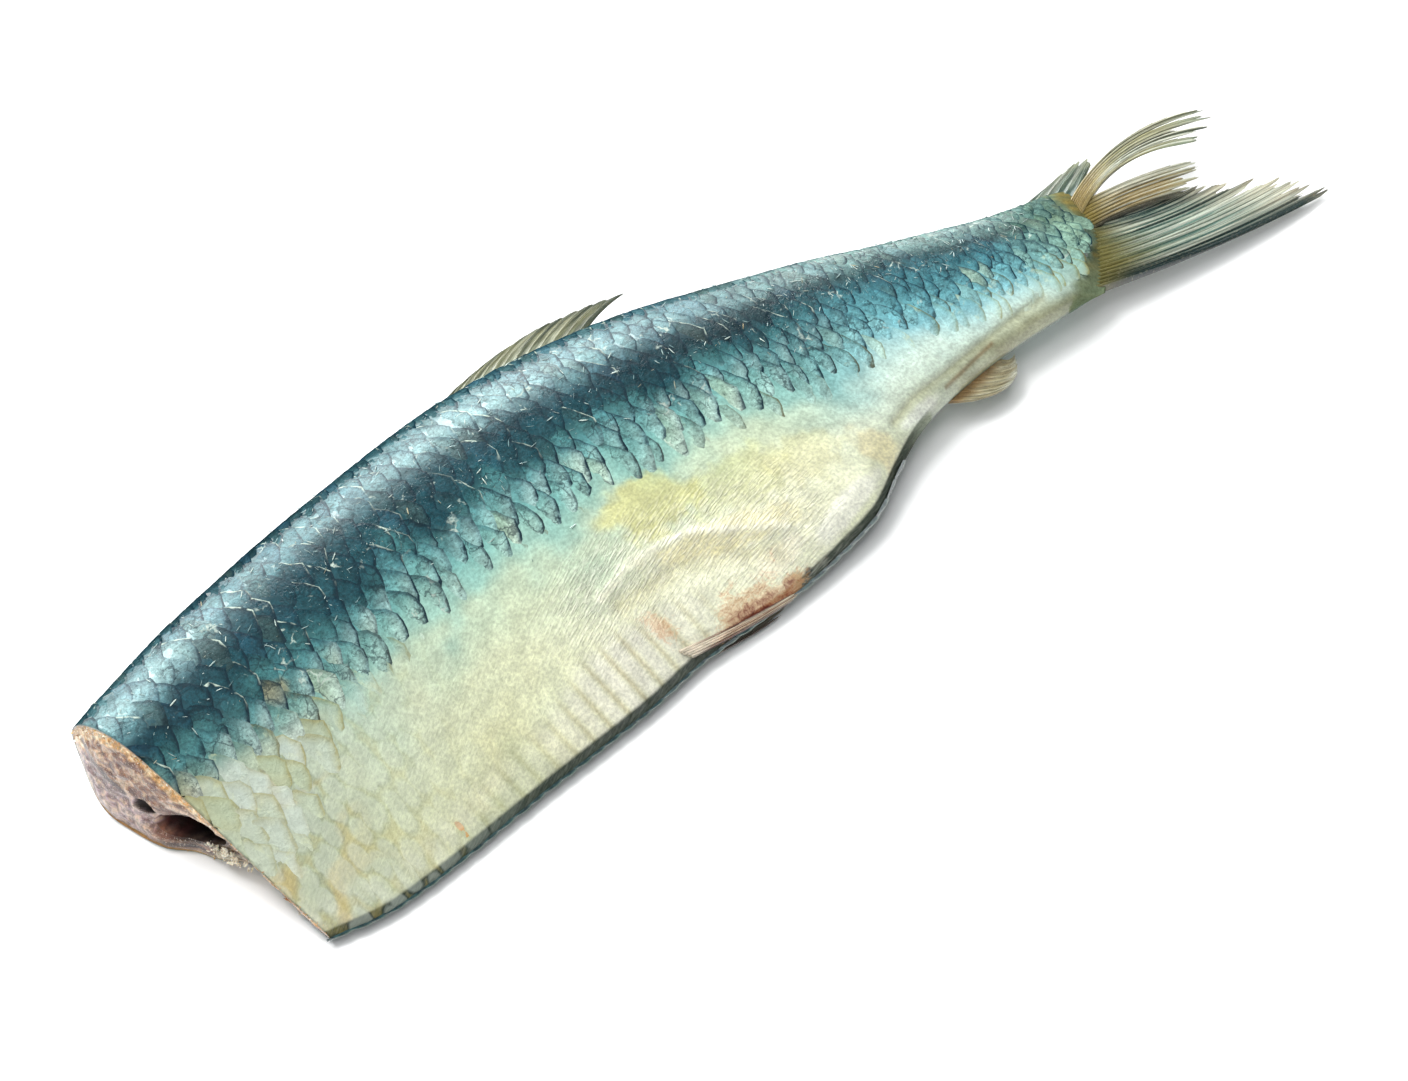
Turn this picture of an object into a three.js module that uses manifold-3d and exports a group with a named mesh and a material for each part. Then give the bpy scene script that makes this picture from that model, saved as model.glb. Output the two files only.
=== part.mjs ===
// A raw herring with its head cut off, lying on its right flank with the left flank up.
// Millimetres. +X runs from the cut to the tail, +Y from the belly to the back, +Z up.
// The body is one loft whose cross-section is a teardrop: full at the back, thin at the belly.
import * as THREE from "three";
import { mergeVertices } from "three/addons/utils/BufferGeometryUtils.js";
import Module from "manifold-3d";

// ---- Driving dimensions, in mm ------------------------------------------------------------

const CUT_X = -112; // the ridge of the back at the head cut
const ROOT_X = 88; // where the body thins out into the tail fin, at the back
const ROOT_SLANT = 4; // at the belly this edge lies so much further forward
const ROOT_BULGE = 7; // and between the lobes of the fin so much further back

// Lines of the body: [place along X, value].
const BACK_LINE = [[-112, 14.2], [-90, 21.8], [-60, 28.9], [-30, 33.3], [0, 31.8],
  [30, 25.2], [50, 19.6], [70, 14.8], [86, 12.8]];
const KEEL_LINE = [[-96, -34.7], [-82, -36.1], [-50, -31.9], [-30, -29.3], [-18, -26.9], [2, -25.2],
  [14, -23], [21, -21], [28, -16.7], [35, -13], [44, -10.4], [60, -8.2], [80, -7.7]];
const BACK_HEIGHT = [[-112, 11], [-60, 12], [0, 12], [40, 11], [70, 9], [86, 8]];
const KEEL_HEIGHT = [[-112, 2], [-60, 2], [0, 3], [25, 5], [40, 7.5], [70, 8]];
const UPPER_SWELL = [[-112, 13.5], [-40, 13.5], [0, 12.5], [30, 9.5], [50, 7],
  [70, 5], [82, 3.4], [94, 0.7]];
const LOWER_SWELL = [[-112, 9.6], [-40, 9.8], [0, 9.8], [30, 8.6], [50, 7],
  [70, 5], [82, 3.4], [94, 0.7]];

// Form of the cross-section: where it is fullest, counted from the back in shares of its depth,
// how thin the belly is against the fullest place, and the two powers of the taper between.
const FULLEST = [[-112, 0.27], [-60, 0.3], [0, 0.36], [40, 0.45], [86, 0.5]];
const BELLY_SHARE = [[-112, 0.11], [-60, 0.16], [0, 0.2], [30, 0.3], [86, 0.4]];
const TAPER_ROUND = [[-112, 1.5], [-60, 1.7], [0, 1.9], [30, 2], [86, 2]];
const TAPER_HOLLOW = [[-112, 2.2], [-60, 1.5], [0, 1], [30, 0.7], [86, 0.5]];

// The head cut slants towards the belly. On the flank underneath, the torn belly wall is shorter.
const CUT_SLANT = 17.5;
const LOWER_CUT = [[0, -112], [0.15, -112.8], [0.27, -111.2], [0.42, -107.9], [0.5, -104.2],
  [0.58, -101.4], [0.65, -98], [0.73, -96.6], [0.9, -95.8], [1, -94.5]];

// A long soft fold in the skin of the upper belly.
const FOLD = { x: -9, y: -12, length: 13, width: 2.2, height: 0.8, turn: -0.16 };

// The emptied belly cavity, open at the cut.
const CAVITY = { y: -9, z: 8.7, half_width: 6, half_height: 4.3, tilt: -0.42, depth: 46 };

// The backbone, from the cut to the tail root, in flesh that stands clear of it all round.
const BONE_RADIUS = 1.6;
const BONE_CLEARANCE = 0.3;
const BONE_SHARE = 0.34;
const BONE_START = 1.4;
const BONE_END_X = 78;

// Fineness of the loft: steps along the body, round each flank and across the cut.
const STEPS_ALONG = 52;
const STEPS_FLANK = 20;
const STEPS_CUT = 4;

// Fins. Each is a thin plate whose rays run from a root line to a tip line, each given by three
// places. bow lifts a ray's middle, and notch is how much shorter the web is than the rays.
const FINS = {
  dorsal_fin: {
    root: [[-34, 31.8, 12.2], [-20, 32.6, 12.4], [-5, 31.2, 12.4]],
    tip: [[-23, 35.4, 12.8], [-9, 37.2, 13.2], [8, 34.8, 13.4]],
    rays: 9, bow: 0.9, thick_root: 1.8, thick_tip: 0.9, notch: 0.1, steps: 5,
  },
  pelvic_fin_upper: {
    root: [[-22.5, -23, 6.2], [-21, -24.8, 5], [-19.5, -26.2, 3.4]],
    tip: [[0.6, -25.2, 3.8], [1.6, -26.2, 3.4], [-0.6, -27.2, 2.8]],
    rays: 4, bow: -0.5, thick_root: 1.6, thick_tip: 0.9, notch: 0.06, steps: 6,
  },
  pelvic_fin_lower: {
    root: [[-22, -24.6, 1.8], [-20.5, -25.4, 1.6], [-19, -26, 1.5]],
    tip: [[-0.8, -24.4, 1.1], [0, -25, 1], [-1.6, -26, 0.9]],
    rays: 4, bow: -0.5, thick_root: 1.4, thick_tip: 0.8, notch: 0.06, steps: 6,
  },
  anal_fin: {
    root: [[42, -9.4, 6.8], [50, -7.8, 7], [58, -6.9, 7.2]],
    tip: [[46.5, -13.2, 3.4], [53.5, -12, 3.2], [59, -9.2, 3.6]],
    rays: 8, bow: 0.3, thick_root: 1.6, thick_tip: 0.8, notch: 0.08, steps: 4,
  },
  tail_spurs: {
    root: [[71, 12.8, 8.4], [79, 11.6, 8.2], [86, 10.6, 8]],
    tip: [[82, 14.6, 8.6], [90, 16.4, 8.6], [92, 14.8, 8.4]],
    rays: 4, bow: 0.2, thick_root: 2, thick_tip: 0.9, notch: 0.22, steps: 4,
  },
  tail_upper_outer: {
    root: [[83, 9.6, 8], [84, 8.2, 8], [84, 7, 8]],
    tip: [[115.6, 11.4, 10.4], [115, 9, 10], [110.5, 7.6, 9.6]],
    rays: 5, bow: 4.4, thick_root: 3.2, thick_tip: 0.9, notch: 0.12, steps: 8,
  },
  tail_upper_inner: {
    root: [[83, 9, 7.8], [82, 6, 7.8], [80, 3, 7.8]],
    tip: [[108.6, 5.6, 7.6], [107.8, 3, 6.8], [102.5, 1.4, 6]],
    rays: 5, bow: 1.2, thick_root: 3.2, thick_tip: 0.9, notch: 0.14, steps: 7,
  },
  tail_lower: {
    root: [[81, 6.4, 7.6], [78, -0.6, 7.4], [75, -6.2, 7]],
    tip: [[103.5, 3.8, 4.6], [120.5, -2.6, 2], [127.8, -10, 1.4]],
    rays: 13, bow: -1.4, thick_root: 3.6, thick_tip: 0.9, notch: 0.12, steps: 9,
  },
};
const RAY_RELIEF = 0.45; // a fin is thinner between its rays by this share
const TIP_RAGGED = 0.035; // tips differ in reach by up to this share of a ray

// ---- Small helpers ------------------------------------------------------------------------

// A smooth curve through the given [place, value] pairs.
function through(pairs) {
  const slope = pairs.map((_, i) => {
    const before = pairs[Math.max(i - 1, 0)];
    const after = pairs[Math.min(i + 1, pairs.length - 1)];
    return (after[1] - before[1]) / (after[0] - before[0]);
  });
  return (place) => {
    let i = 0;
    while (i < pairs.length - 2 && place > pairs[i + 1][0]) i += 1;
    const width = pairs[i + 1][0] - pairs[i][0];
    const t = THREE.MathUtils.clamp((place - pairs[i][0]) / width, 0, 1);
    const t2 = t * t;
    const t3 = t2 * t;
    return (2 * t3 - 3 * t2 + 1) * pairs[i][1] + (t3 - 2 * t2 + t) * width * slope[i]
      + (3 * t2 - 2 * t3) * pairs[i + 1][1] + (t3 - t2) * width * slope[i + 1];
  };
}

// A curve through three points, at share t.
function arcPoint(points, t) {
  const [a, b, c] = points;
  const wa = (1 - t) * (1 - 2 * t);
  const wb = 4 * t * (1 - t);
  const wc = t * (2 * t - 1);
  return new THREE.Vector3(
    wa * a[0] + wb * b[0] + wc * c[0],
    wa * a[1] + wb * b[1] + wc * c[1],
    wa * a[2] + wb * b[2] + wc * c[2],
  );
}

// A repeatable random number from 0 to 1 for each whole number.
function random(n) {
  const s = Math.sin(n * 127.1 + 311.7) * 43758.5453;
  return s - Math.floor(s);
}

// Triangles gathered corner by corner. Ones with two equal corners are left out.
class Surface {
  constructor() {
    this.corners = [];
  }
  triangle(a, b, c) {
    const least = 1e-4;
    if (a.distanceTo(b) < least || b.distanceTo(c) < least || c.distanceTo(a) < least) return;
    for (const p of [a, b, c]) this.corners.push(p.x, p.y, p.z);
  }
  quad(a, b, c, d) {
    this.triangle(a, b, c);
    this.triangle(a, c, d);
  }
  // A grid of points facing the way that its first index crossed with its second points.
  grid(points) {
    for (let i = 0; i + 1 < points.length; i += 1)
      for (let j = 0; j + 1 < points[i].length; j += 1)
        this.quad(points[i][j], points[i + 1][j], points[i + 1][j + 1], points[i][j + 1]);
  }
  geometry() {
    const loose = new THREE.BufferGeometry();
    loose.setAttribute("position", new THREE.Float32BufferAttribute(this.corners, 3));
    return mergeVertices(loose, 1e-4);
  }
}

const wasm = await Module();
wasm.setup();

function signedVolume(geometry) {
  const p = geometry.attributes.position;
  const index = geometry.index.array;
  const corner = [0, 1, 2].map(() => new THREE.Vector3());
  let sum = 0;
  for (let i = 0; i < index.length; i += 3) {
    corner.forEach((v, k) => v.fromBufferAttribute(p, index[i + k]));
    sum += corner[0].dot(corner[1].clone().cross(corner[2])) / 6;
  }
  return sum;
}

// A closed geometry as a solid, turned the right way out.
function solid(geometry) {
  const triVerts = new Uint32Array(geometry.index.array);
  if (signedVolume(geometry) < 0)
    for (let i = 0; i < triVerts.length; i += 3)
      [triVerts[i + 1], triVerts[i + 2]] = [triVerts[i + 2], triVerts[i + 1]];
  const vertProperties = new Float32Array(geometry.attributes.position.array);
  return new wasm.Manifold(new wasm.Mesh({ numProp: 3, vertProperties, triVerts }));
}

// A solid as a three.js geometry.
function geometryOf(body) {
  const mesh = body.getMesh();
  const geometry = new THREE.BufferGeometry();
  geometry.setAttribute("position", new THREE.BufferAttribute(mesh.vertProperties, 3));
  geometry.setIndex(new THREE.BufferAttribute(mesh.triVerts, 1));
  geometry.computeVertexNormals();
  return geometry;
}

// ---- Body ---------------------------------------------------------------------------------

const backLine = through(BACK_LINE);
const keelLine = through(KEEL_LINE);
const backHeight = through(BACK_HEIGHT);
const keelHeight = through(KEEL_HEIGHT);
const upperSwell = through(UPPER_SWELL);
const lowerSwell = through(LOWER_SWELL);
const fullest = through(FULLEST);
const bellyShare = through(BELLY_SHARE);
const taperRound = through(TAPER_ROUND);
const taperHollow = through(TAPER_HOLLOW);
const lowerCut = through(LOWER_CUT);

// How full the section at x is at share q of the way from the back to the keel, 0 to 1.
function fullness(x, q) {
  const peak = fullest(x);
  if (q < peak) return Math.sqrt(Math.max(0, 1 - ((peak - q) / peak) ** 2));
  const r = Math.min(1, (q - peak) / (1 - peak));
  const belly = bellyShare(x);
  const taper = (1 - r ** taperRound(x)) ** taperHollow(x);
  return (1 - belly) * taper + belly * Math.sqrt(Math.max(0, 1 - r ** 8));
}

// Height of the fold in the belly's skin at a place on the upper flank.
function foldHeight(x, y) {
  const along = (x - FOLD.x) * Math.cos(FOLD.turn) + (y - FOLD.y) * Math.sin(FOLD.turn);
  const across = (y - FOLD.y) * Math.cos(FOLD.turn) - (x - FOLD.x) * Math.sin(FOLD.turn);
  return FOLD.height * Math.exp(-((along / FOLD.length) ** 2) - (across / FOLD.width) ** 2);
}

// A point of the skin. side is 1 on the upper flank and -1 on the one underneath, which is
// pressed flat where the fish rests on its own weight.
function skinPoint(x, q, side) {
  const y = backLine(x) + (keelLine(x) - backLine(x)) * q;
  const middle = backHeight(x) + (keelHeight(x) - backHeight(x)) * q;
  const f = fullness(x, q);
  const fold = q > 0 && q < 1 ? foldHeight(x, y) : 0;
  const z = side > 0 ? middle + upperSwell(x) * f + fold : middle - lowerSwell(x) * f;
  return new THREE.Vector3(x, y, Math.max(0, z));
}

// Where the head cut passes at share q, between the lower rim (across = -1) and the upper (1).
function cutX(q, across) {
  const upper = CUT_X + CUT_SLANT * q;
  const share = (across + 1) / 2;
  return lowerCut(q) * (1 - share) + upper * share;
}

// The shares from back to keel at which a section has its points, closer at both ends.
const FLANK_SHARES = Array.from({ length: STEPS_FLANK + 1 }, (_, j) =>
  (1 - Math.cos((Math.PI * j) / STEPS_FLANK)) / 2);

// Where the body ends in the tail fin at share q.
function rootX(q) {
  return ROOT_X - ROOT_SLANT * q + ROOT_BULGE * 4 * q * (1 - q);
}

function flankGrid(side) {
  const rows = [];
  for (let i = 0; i <= STEPS_ALONG; i += 1) {
    const u = i / STEPS_ALONG;
    rows.push(FLANK_SHARES.map((q) => {
      const start = cutX(q, side);
      return skinPoint(start + (rootX(q) - start) * u, q, side);
    }));
  }
  return rows;
}

// A face that joins the two flanks' points, one row for each share from back to keel.
function faceBetween(upperRow, lowerRow, xAt) {
  return FLANK_SHARES.map((q, j) => {
    const row = [];
    for (let k = 0; k <= STEPS_CUT; k += 1) {
      const t = k / STEPS_CUT;
      const p = upperRow[j].clone().lerp(lowerRow[j], t);
      if (k > 0 && k < STEPS_CUT) p.x = xAt(q, 1 - 2 * t);
      row.push(p);
    }
    return row;
  });
}

function makeBody() {
  const upper = flankGrid(1);
  const lower = flankGrid(-1);
  const skin = new Surface();
  const columns = (rows) => FLANK_SHARES.map((_, j) => rows.map((row) => row[j]));
  skin.grid(columns(upper));
  skin.grid(lower);
  const cut = faceBetween(upper[0], lower[0], cutX);
  const root = faceBetween(upper[STEPS_ALONG], lower[STEPS_ALONG], rootX);
  const turned = (rows) => rows[0].map((_, k) => rows.map((row) => row[k]));
  skin.grid(turned(cut));
  skin.grid(root);
  return solid(skin.geometry());
}

// A closed tube: rings is a list of rings of points, each closed at its middle at both ends.
function tube(rings) {
  const surface = new Surface();
  const count = rings[0].length;
  const middle = (ring) => ring.reduce((sum, p) => sum.add(p), new THREE.Vector3())
    .divideScalar(count);
  for (let i = 0; i + 1 < rings.length; i += 1)
    for (let j = 0; j < count; j += 1) {
      const n = (j + 1) % count;
      surface.quad(rings[i][j], rings[i][n], rings[i + 1][n], rings[i + 1][j]);
    }
  const first = middle(rings[0]);
  const last = middle(rings[rings.length - 1]);
  for (let j = 0; j < count; j += 1) {
    const n = (j + 1) % count;
    surface.triangle(first, rings[0][n], rings[0][j]);
    surface.triangle(last, rings[rings.length - 1][j], rings[rings.length - 1][n]);
  }
  return solid(surface.geometry());
}

// ---- Belly cavity -------------------------------------------------------------------------

function makeCavity() {
  const sides = 20;
  const steps = 10;
  const outside = 10; // it starts this far in front of the cut, so that the mouth is open
  const rings = [];
  for (let i = 0; i <= steps; i += 1) {
    const t = i / steps;
    const x = CUT_X - outside + (CAVITY.depth + outside) * t;
    const size = Math.sqrt(1 - Math.max(0, (t - 0.45) / 0.56) ** 2.4);
    const ring = [];
    for (let j = 0; j < sides; j += 1) {
      const a = (2 * Math.PI * j) / sides;
      const along = CAVITY.half_width * size * Math.cos(a);
      const across = CAVITY.half_height * size * Math.sin(a);
      ring.push(new THREE.Vector3(
        x,
        CAVITY.y + along * Math.cos(CAVITY.tilt) - across * Math.sin(CAVITY.tilt),
        CAVITY.z + along * Math.sin(CAVITY.tilt) + across * Math.cos(CAVITY.tilt),
      ));
    }
    rings.push(ring);
  }
  return tube(rings);
}

// ---- Backbone -----------------------------------------------------------------------------

// The middle of the backbone at x: in the middle of the section, nearer to the back.
function bonePoint(x) {
  const share = BONE_SHARE + 0.12 * THREE.MathUtils.smoothstep(x, CUT_X, BONE_END_X);
  const upper = skinPoint(x, share, 1);
  const lower = skinPoint(x, share, -1);
  return upper.lerp(lower, 0.5);
}

function boneRings(startX, endX, growth) {
  const sides = 10;
  const steps = 24;
  const rings = [];
  for (let i = 0; i <= steps; i += 1) {
    const x = startX + ((endX - startX) * i) / steps;
    const centre = bonePoint(THREE.MathUtils.clamp(x, CUT_X, BONE_END_X));
    const slim = 1 - 0.45 * THREE.MathUtils.smoothstep(x, -20, BONE_END_X);
    const radius = BONE_RADIUS * slim + growth;
    const ring = [];
    for (let j = 0; j < sides; j += 1) {
      const a = (2 * Math.PI * j) / sides;
      ring.push(new THREE.Vector3(
        x, centre.y + radius * Math.cos(a), centre.z + radius * Math.sin(a)));
    }
    rings.push(ring);
  }
  return rings;
}

// ---- Fins ---------------------------------------------------------------------------------

// A plate of rays: two columns for each ray, its crest and the web beside it.
function makeFin(fin, seed) {
  const columns = fin.rays * 2;
  const top = [];
  const bottom = [];
  for (let c = 0; c <= columns; c += 1) {
    const share = c / columns;
    const isRay = c % 2 === 1;
    const root = arcPoint(fin.root, share);
    const tip = arcPoint(fin.tip, share);
    const ragged = TIP_RAGGED * (random(seed * 40 + c) * 2 - 1);
    const reach = isRay ? 1 + ragged : 1 - fin.notch + ragged;
    const topColumn = [];
    const bottomColumn = [];
    for (let r = 0; r <= fin.steps; r += 1) {
      const t = (r / fin.steps) * reach;
      const p = root.clone().lerp(tip, t);
      p.y += fin.bow * 4 * t * (1 - t);
      const plain = fin.thick_tip + (fin.thick_root - fin.thick_tip) * (1 - r / fin.steps) ** 2;
      const relief = isRay ? 1 : 1 - RAY_RELIEF * Math.sqrt(r / fin.steps);
      const half = (plain * relief) / 2;
      topColumn.push(p.clone().setZ(p.z + half));
      bottomColumn.push(p.clone().setZ(p.z - half));
    }
    top.push(topColumn);
    bottom.push(bottomColumn);
  }
  const surface = new Surface();
  surface.grid(top);
  surface.grid(bottom.map((column) => [...column].reverse()));
  const last = fin.steps;
  for (let c = 0; c < columns; c += 1) {
    surface.quad(top[c][0], bottom[c][0], bottom[c + 1][0], top[c + 1][0]);
    surface.quad(bottom[c][last], top[c][last], top[c + 1][last], bottom[c + 1][last]);
  }
  for (let r = 0; r < last; r += 1) {
    surface.quad(bottom[0][r], top[0][r], top[0][r + 1], bottom[0][r + 1]);
    surface.quad(top[columns][r], bottom[columns][r], bottom[columns][r + 1], top[columns][r + 1]);
  }
  return solid(surface.geometry());
}

// ---- The fish -----------------------------------------------------------------------------

function makeFish() {
  let fish = makeBody();
  Object.values(FINS).forEach((fin, i) => {
    fish = fish.add(makeFin(fin, i + 1));
  });
  const tunnel = tube(boneRings(CUT_X - 8, BONE_END_X + 1, BONE_CLEARANCE));
  return fish.subtract(makeCavity()).subtract(tunnel);
}

const SKIN = new THREE.MeshStandardMaterial({ color: 0x8fb0b4, roughness: 0.32, metalness: 0.25 });
const BONE = new THREE.MeshStandardMaterial({ color: 0x5a3a34, roughness: 0.5, metalness: 0 });

function namedMesh(name, geometry, material) {
  const mesh = new THREE.Mesh(geometry, material);
  mesh.name = name;
  return mesh;
}

const boneStart = cutX(BONE_SHARE, 0) + BONE_START;
const herring = new THREE.Group();
herring.add(namedMesh("fish", geometryOf(makeFish()), SKIN));
const backbone = geometryOf(tube(boneRings(boneStart, BONE_END_X, 0)));
herring.add(namedMesh("backbone", backbone, BONE));

// The origin is under the middle of the fish, on the surface that it lies on.
const box = new THREE.Box3().setFromObject(herring);
const middle = box.getCenter(new THREE.Vector3());
herring.position.set(-middle.x, -middle.y, -box.min.z);

export default herring;
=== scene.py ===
# %% [markdown]
# # A raw herring without its head
#
# The fish lies on its right flank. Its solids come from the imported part, and this file gives
# them their looks: skin with its net of scales, cut flesh, fins with fine rays, keel scutes and
# a backbone. Lengths are in millimetres in the fish's own frame, in which +X points to the tail,
# +Y to the back and +Z up, and they become metres in the last step of each piece. A text cell
# before each step says what the piece is, how it could be made, and why this way was chosen.

import math

import bpy
import numpy as np
from mathutils import Matrix, Vector


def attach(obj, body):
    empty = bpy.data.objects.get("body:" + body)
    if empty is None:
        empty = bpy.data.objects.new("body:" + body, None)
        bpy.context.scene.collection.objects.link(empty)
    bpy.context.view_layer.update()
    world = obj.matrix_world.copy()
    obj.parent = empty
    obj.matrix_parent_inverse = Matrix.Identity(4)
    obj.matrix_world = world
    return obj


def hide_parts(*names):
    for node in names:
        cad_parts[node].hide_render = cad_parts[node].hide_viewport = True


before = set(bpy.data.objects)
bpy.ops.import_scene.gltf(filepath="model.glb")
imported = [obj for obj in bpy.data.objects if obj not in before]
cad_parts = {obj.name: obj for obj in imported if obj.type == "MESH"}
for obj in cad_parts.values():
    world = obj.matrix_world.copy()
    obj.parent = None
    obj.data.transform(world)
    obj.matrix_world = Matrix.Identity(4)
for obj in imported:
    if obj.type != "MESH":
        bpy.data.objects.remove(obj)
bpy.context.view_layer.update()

# %% [markdown]
# ## Camera
# The camera stands 660 mm away with a long lens, so that the fish looks flat and undistorted,
# as on a page of a cook book. A camera could also follow a target by a constraint. A matrix is
# built here instead, because three plain vectors say exactly which way is right, up and back.
# MIDDLE is the middle of the part's box in the fish's own frame, and DROP moves the camera down
# in its own plane, which lifts the fish in the picture.

# %% Camera
MM = 0.001
MIDDLE = np.array([8.2086, 0.5378, 0.0])
AZIMUTH = math.radians(-34)
ELEVATION = math.radians(60)
DISTANCE = 660 * MM
DROP = 6.834 * MM


def to_metres(points):
    """Points in the fish's own frame, in millimetres, as points of the part in metres."""
    return (np.asarray(points, float) - MIDDLE) * MM


back = Vector((
    math.sin(AZIMUTH) * math.cos(ELEVATION),
    -math.cos(AZIMUTH) * math.cos(ELEVATION),
    math.sin(ELEVATION),
))
right = Vector((math.cos(AZIMUTH), math.sin(AZIMUTH), 0))
up = back.cross(right)
camera_data = bpy.data.cameras.new("camera")
camera_data.lens = 100
camera_data.sensor_width = 36
camera = bpy.data.objects.new("camera", camera_data)
place = Vector(to_metres((0, 0, 0))) + back * DISTANCE - up * DROP
turn = Matrix((right, up, back)).transposed().to_4x4()
camera.matrix_world = Matrix.Translation(place) @ turn
bpy.context.collection.objects.link(camera)
bpy.context.scene.camera = camera
print("camera at", [round(v, 3) for v in place])

# %% [markdown]
# ## Small tools for numbers
# `through` draws a smooth line through a few named stations, as a spline batten does on a boat
# builder's floor. `clouds` is soft random noise that is the same on every run, because it is
# worked out from sines and not drawn from a random generator.

# %% Tools for numbers


def through(pairs):
    """A function that follows the pairs (place, value) on a smooth line."""
    at, value = (np.array(column, float) for column in zip(*pairs))
    last = len(at) - 1
    before = np.maximum(np.arange(last + 1) - 1, 0)
    after = np.minimum(np.arange(last + 1) + 1, last)
    slope = (value[after] - value[before]) / (at[after] - at[before])

    def follow(x):
        x = np.asarray(x, float)
        i = np.clip(np.searchsorted(at, x) - 1, 0, last - 1)
        step = at[i + 1] - at[i]
        t = np.clip((x - at[i]) / step, 0, 1)
        start = (2 * t**3 - 3 * t**2 + 1) * value[i] + (t**3 - 2 * t**2 + t) * step * slope[i]
        end = (3 * t**2 - 2 * t**3) * value[i + 1] + (t**3 - t**2) * step * slope[i + 1]
        return start + end

    return follow


def smooth(start, end, x):
    """0 before start, 1 after end, and an easy slope between them."""
    t = np.clip((np.asarray(x, float) - start) / (end - start), 0, 1)
    return t * t * (3 - 2 * t)


def hump(x, middle, width):
    """A soft hump: 1 at its middle, and nearly 0 two widths away."""
    return np.exp(-(((x - middle) / width) ** 2))


def random_at(i, j, seed):
    """A number from 0 to 1 that looks random, for whole numbers i and j."""
    wave = np.sin(i * 127.1 + j * 311.7 + seed * 74.7) * 43758.5453
    return wave - np.floor(wave)


def clouds(u, v, size, seed):
    """Soft noise from 0 to 1 on a surface, with blots of that size."""
    a, b = np.asarray(u, float) / size, np.asarray(v, float) / size
    i, j = np.floor(a), np.floor(b)
    s, t = smooth(0, 1, a - i), smooth(0, 1, b - j)
    near = random_at(i, j, seed) * (1 - s) + random_at(i + 1, j, seed) * s
    far = random_at(i, j + 1, seed) * (1 - s) + random_at(i + 1, j + 1, seed) * s
    return near * (1 - t) + far * t


def tone(red, green, blue):
    """A screen colour from 0 to 255 as the light that it stands for."""
    c = np.array([red, green, blue], float) / 255
    return np.where(c < 0.04045, c / 12.92, ((c + 0.055) / 1.055) ** 2.4)


def blend(under, over, share):
    """One colour laid over another by a share for each point."""
    share = np.asarray(share, float)[..., None]
    return under * (1 - share) + over * share


def coats(colour, layers):
    """Coats of paint, one over another. Each is a screen colour or a field, and its share."""
    for ink, share in layers:
        colour = blend(colour, ink if isinstance(ink, np.ndarray) else tone(*ink), share)
    return colour


# %% [markdown]
# ## Tools for meshes
# Most pieces are grids of points, closed into a ring or capped at their ends. `from_data` is
# quicker and clearer for them than editing with operators. `store` hangs a number, a direction
# or a colour on each point, and the materials read it back. What is copied many times is a bit
# in units of its own, about 1 long.

# %% Tools for meshes


def make_mesh(name, points, faces, edges=()):
    """A mesh object at the origin, with its points given in the fish's frame."""
    mesh = bpy.data.meshes.new(name)
    mesh.from_pydata(to_metres(points).tolist(), list(edges), faces)
    mesh.update()
    obj = bpy.data.objects.new(name, mesh)
    bpy.context.collection.objects.link(obj)
    return obj


def store(obj, name, values):
    """Hangs a number, a direction or the paint's colour on each point of a mesh."""
    values = np.asarray(values, np.float32)
    kind, field = ("FLOAT_VECTOR", "vector") if values.ndim == 2 else ("FLOAT", "value")
    if name == "paint":
        kind, field = "FLOAT_COLOR", "color"
        values = np.concatenate([values, np.ones((len(values), 1), np.float32)], 1)
    obj.data.attributes.new(name, kind, "POINT").data.foreach_set(field, values.ravel())


def read_back(obj, name):
    """The numbers or triples that a mesh carries on its points."""
    layer = obj.data.attributes[name]
    wide = 3 if layer.data_type == "FLOAT_VECTOR" else 1
    values = np.empty(len(layer.data) * wide, np.float32)
    layer.data.foreach_get("vector" if wide == 3 else "value", values)
    return values.reshape(-1, wide).astype(float).squeeze()


def share_materials(obj, first, second, chosen):
    """Two materials on one mesh: the second one goes on the chosen faces."""
    obj.data.materials.clear()
    obj.data.materials.append(first)
    obj.data.materials.append(second)
    obj.data.polygons.foreach_set("material_index", np.array(chosen, np.int32))


def press_flat(obj):
    """Nothing reaches below the surface on which the fish lies."""
    for vertex in obj.data.vertices:
        vertex.co.z = max(vertex.co.z, 0.0)


def unit(vectors):
    """Vectors of length 1."""
    return vectors / (np.linalg.norm(vectors, axis=-1, keepdims=True) + 1e-9)


def step_in(points, depth, most, way=(0, 1, 1)):
    """Moves a ring's points towards its middle, but no further than a part of the way."""
    toward = (points.mean(0) - points) * way
    length = np.linalg.norm(toward, axis=-1, keepdims=True) + 1e-9
    return points + toward / length * np.minimum(depth, length * most)


def ring_faces(rows, count):
    """Faces between rows of count points each, where every row is a closed ring."""
    faces = []
    for i in range(rows - 1):
        for j in range(count):
            n = (j + 1) % count
            faces.append((i * count + j, i * count + n, (i + 1) * count + n, (i + 1) * count + j))
    return faces


def signed_volume(points, faces):
    """The volume that closed faces hold. It is negative where they point inwards."""
    corners = np.asarray(points, float)
    total = 0.0
    for face in faces:
        a = corners[face[0]]
        for m in range(1, len(face) - 1):
            total += a @ np.cross(corners[face[m]], corners[face[m + 1]])
    return total / 6


def make_bit(name, points, faces):
    """A small mesh in units of its own, which a tree sizes and sets. Its faces turn outwards."""
    if signed_volume(points, faces) < 0:
        faces = [tuple(face)[::-1] for face in faces]
    return make_mesh(name, np.array(points) / MM + MIDDLE, faces)


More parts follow.
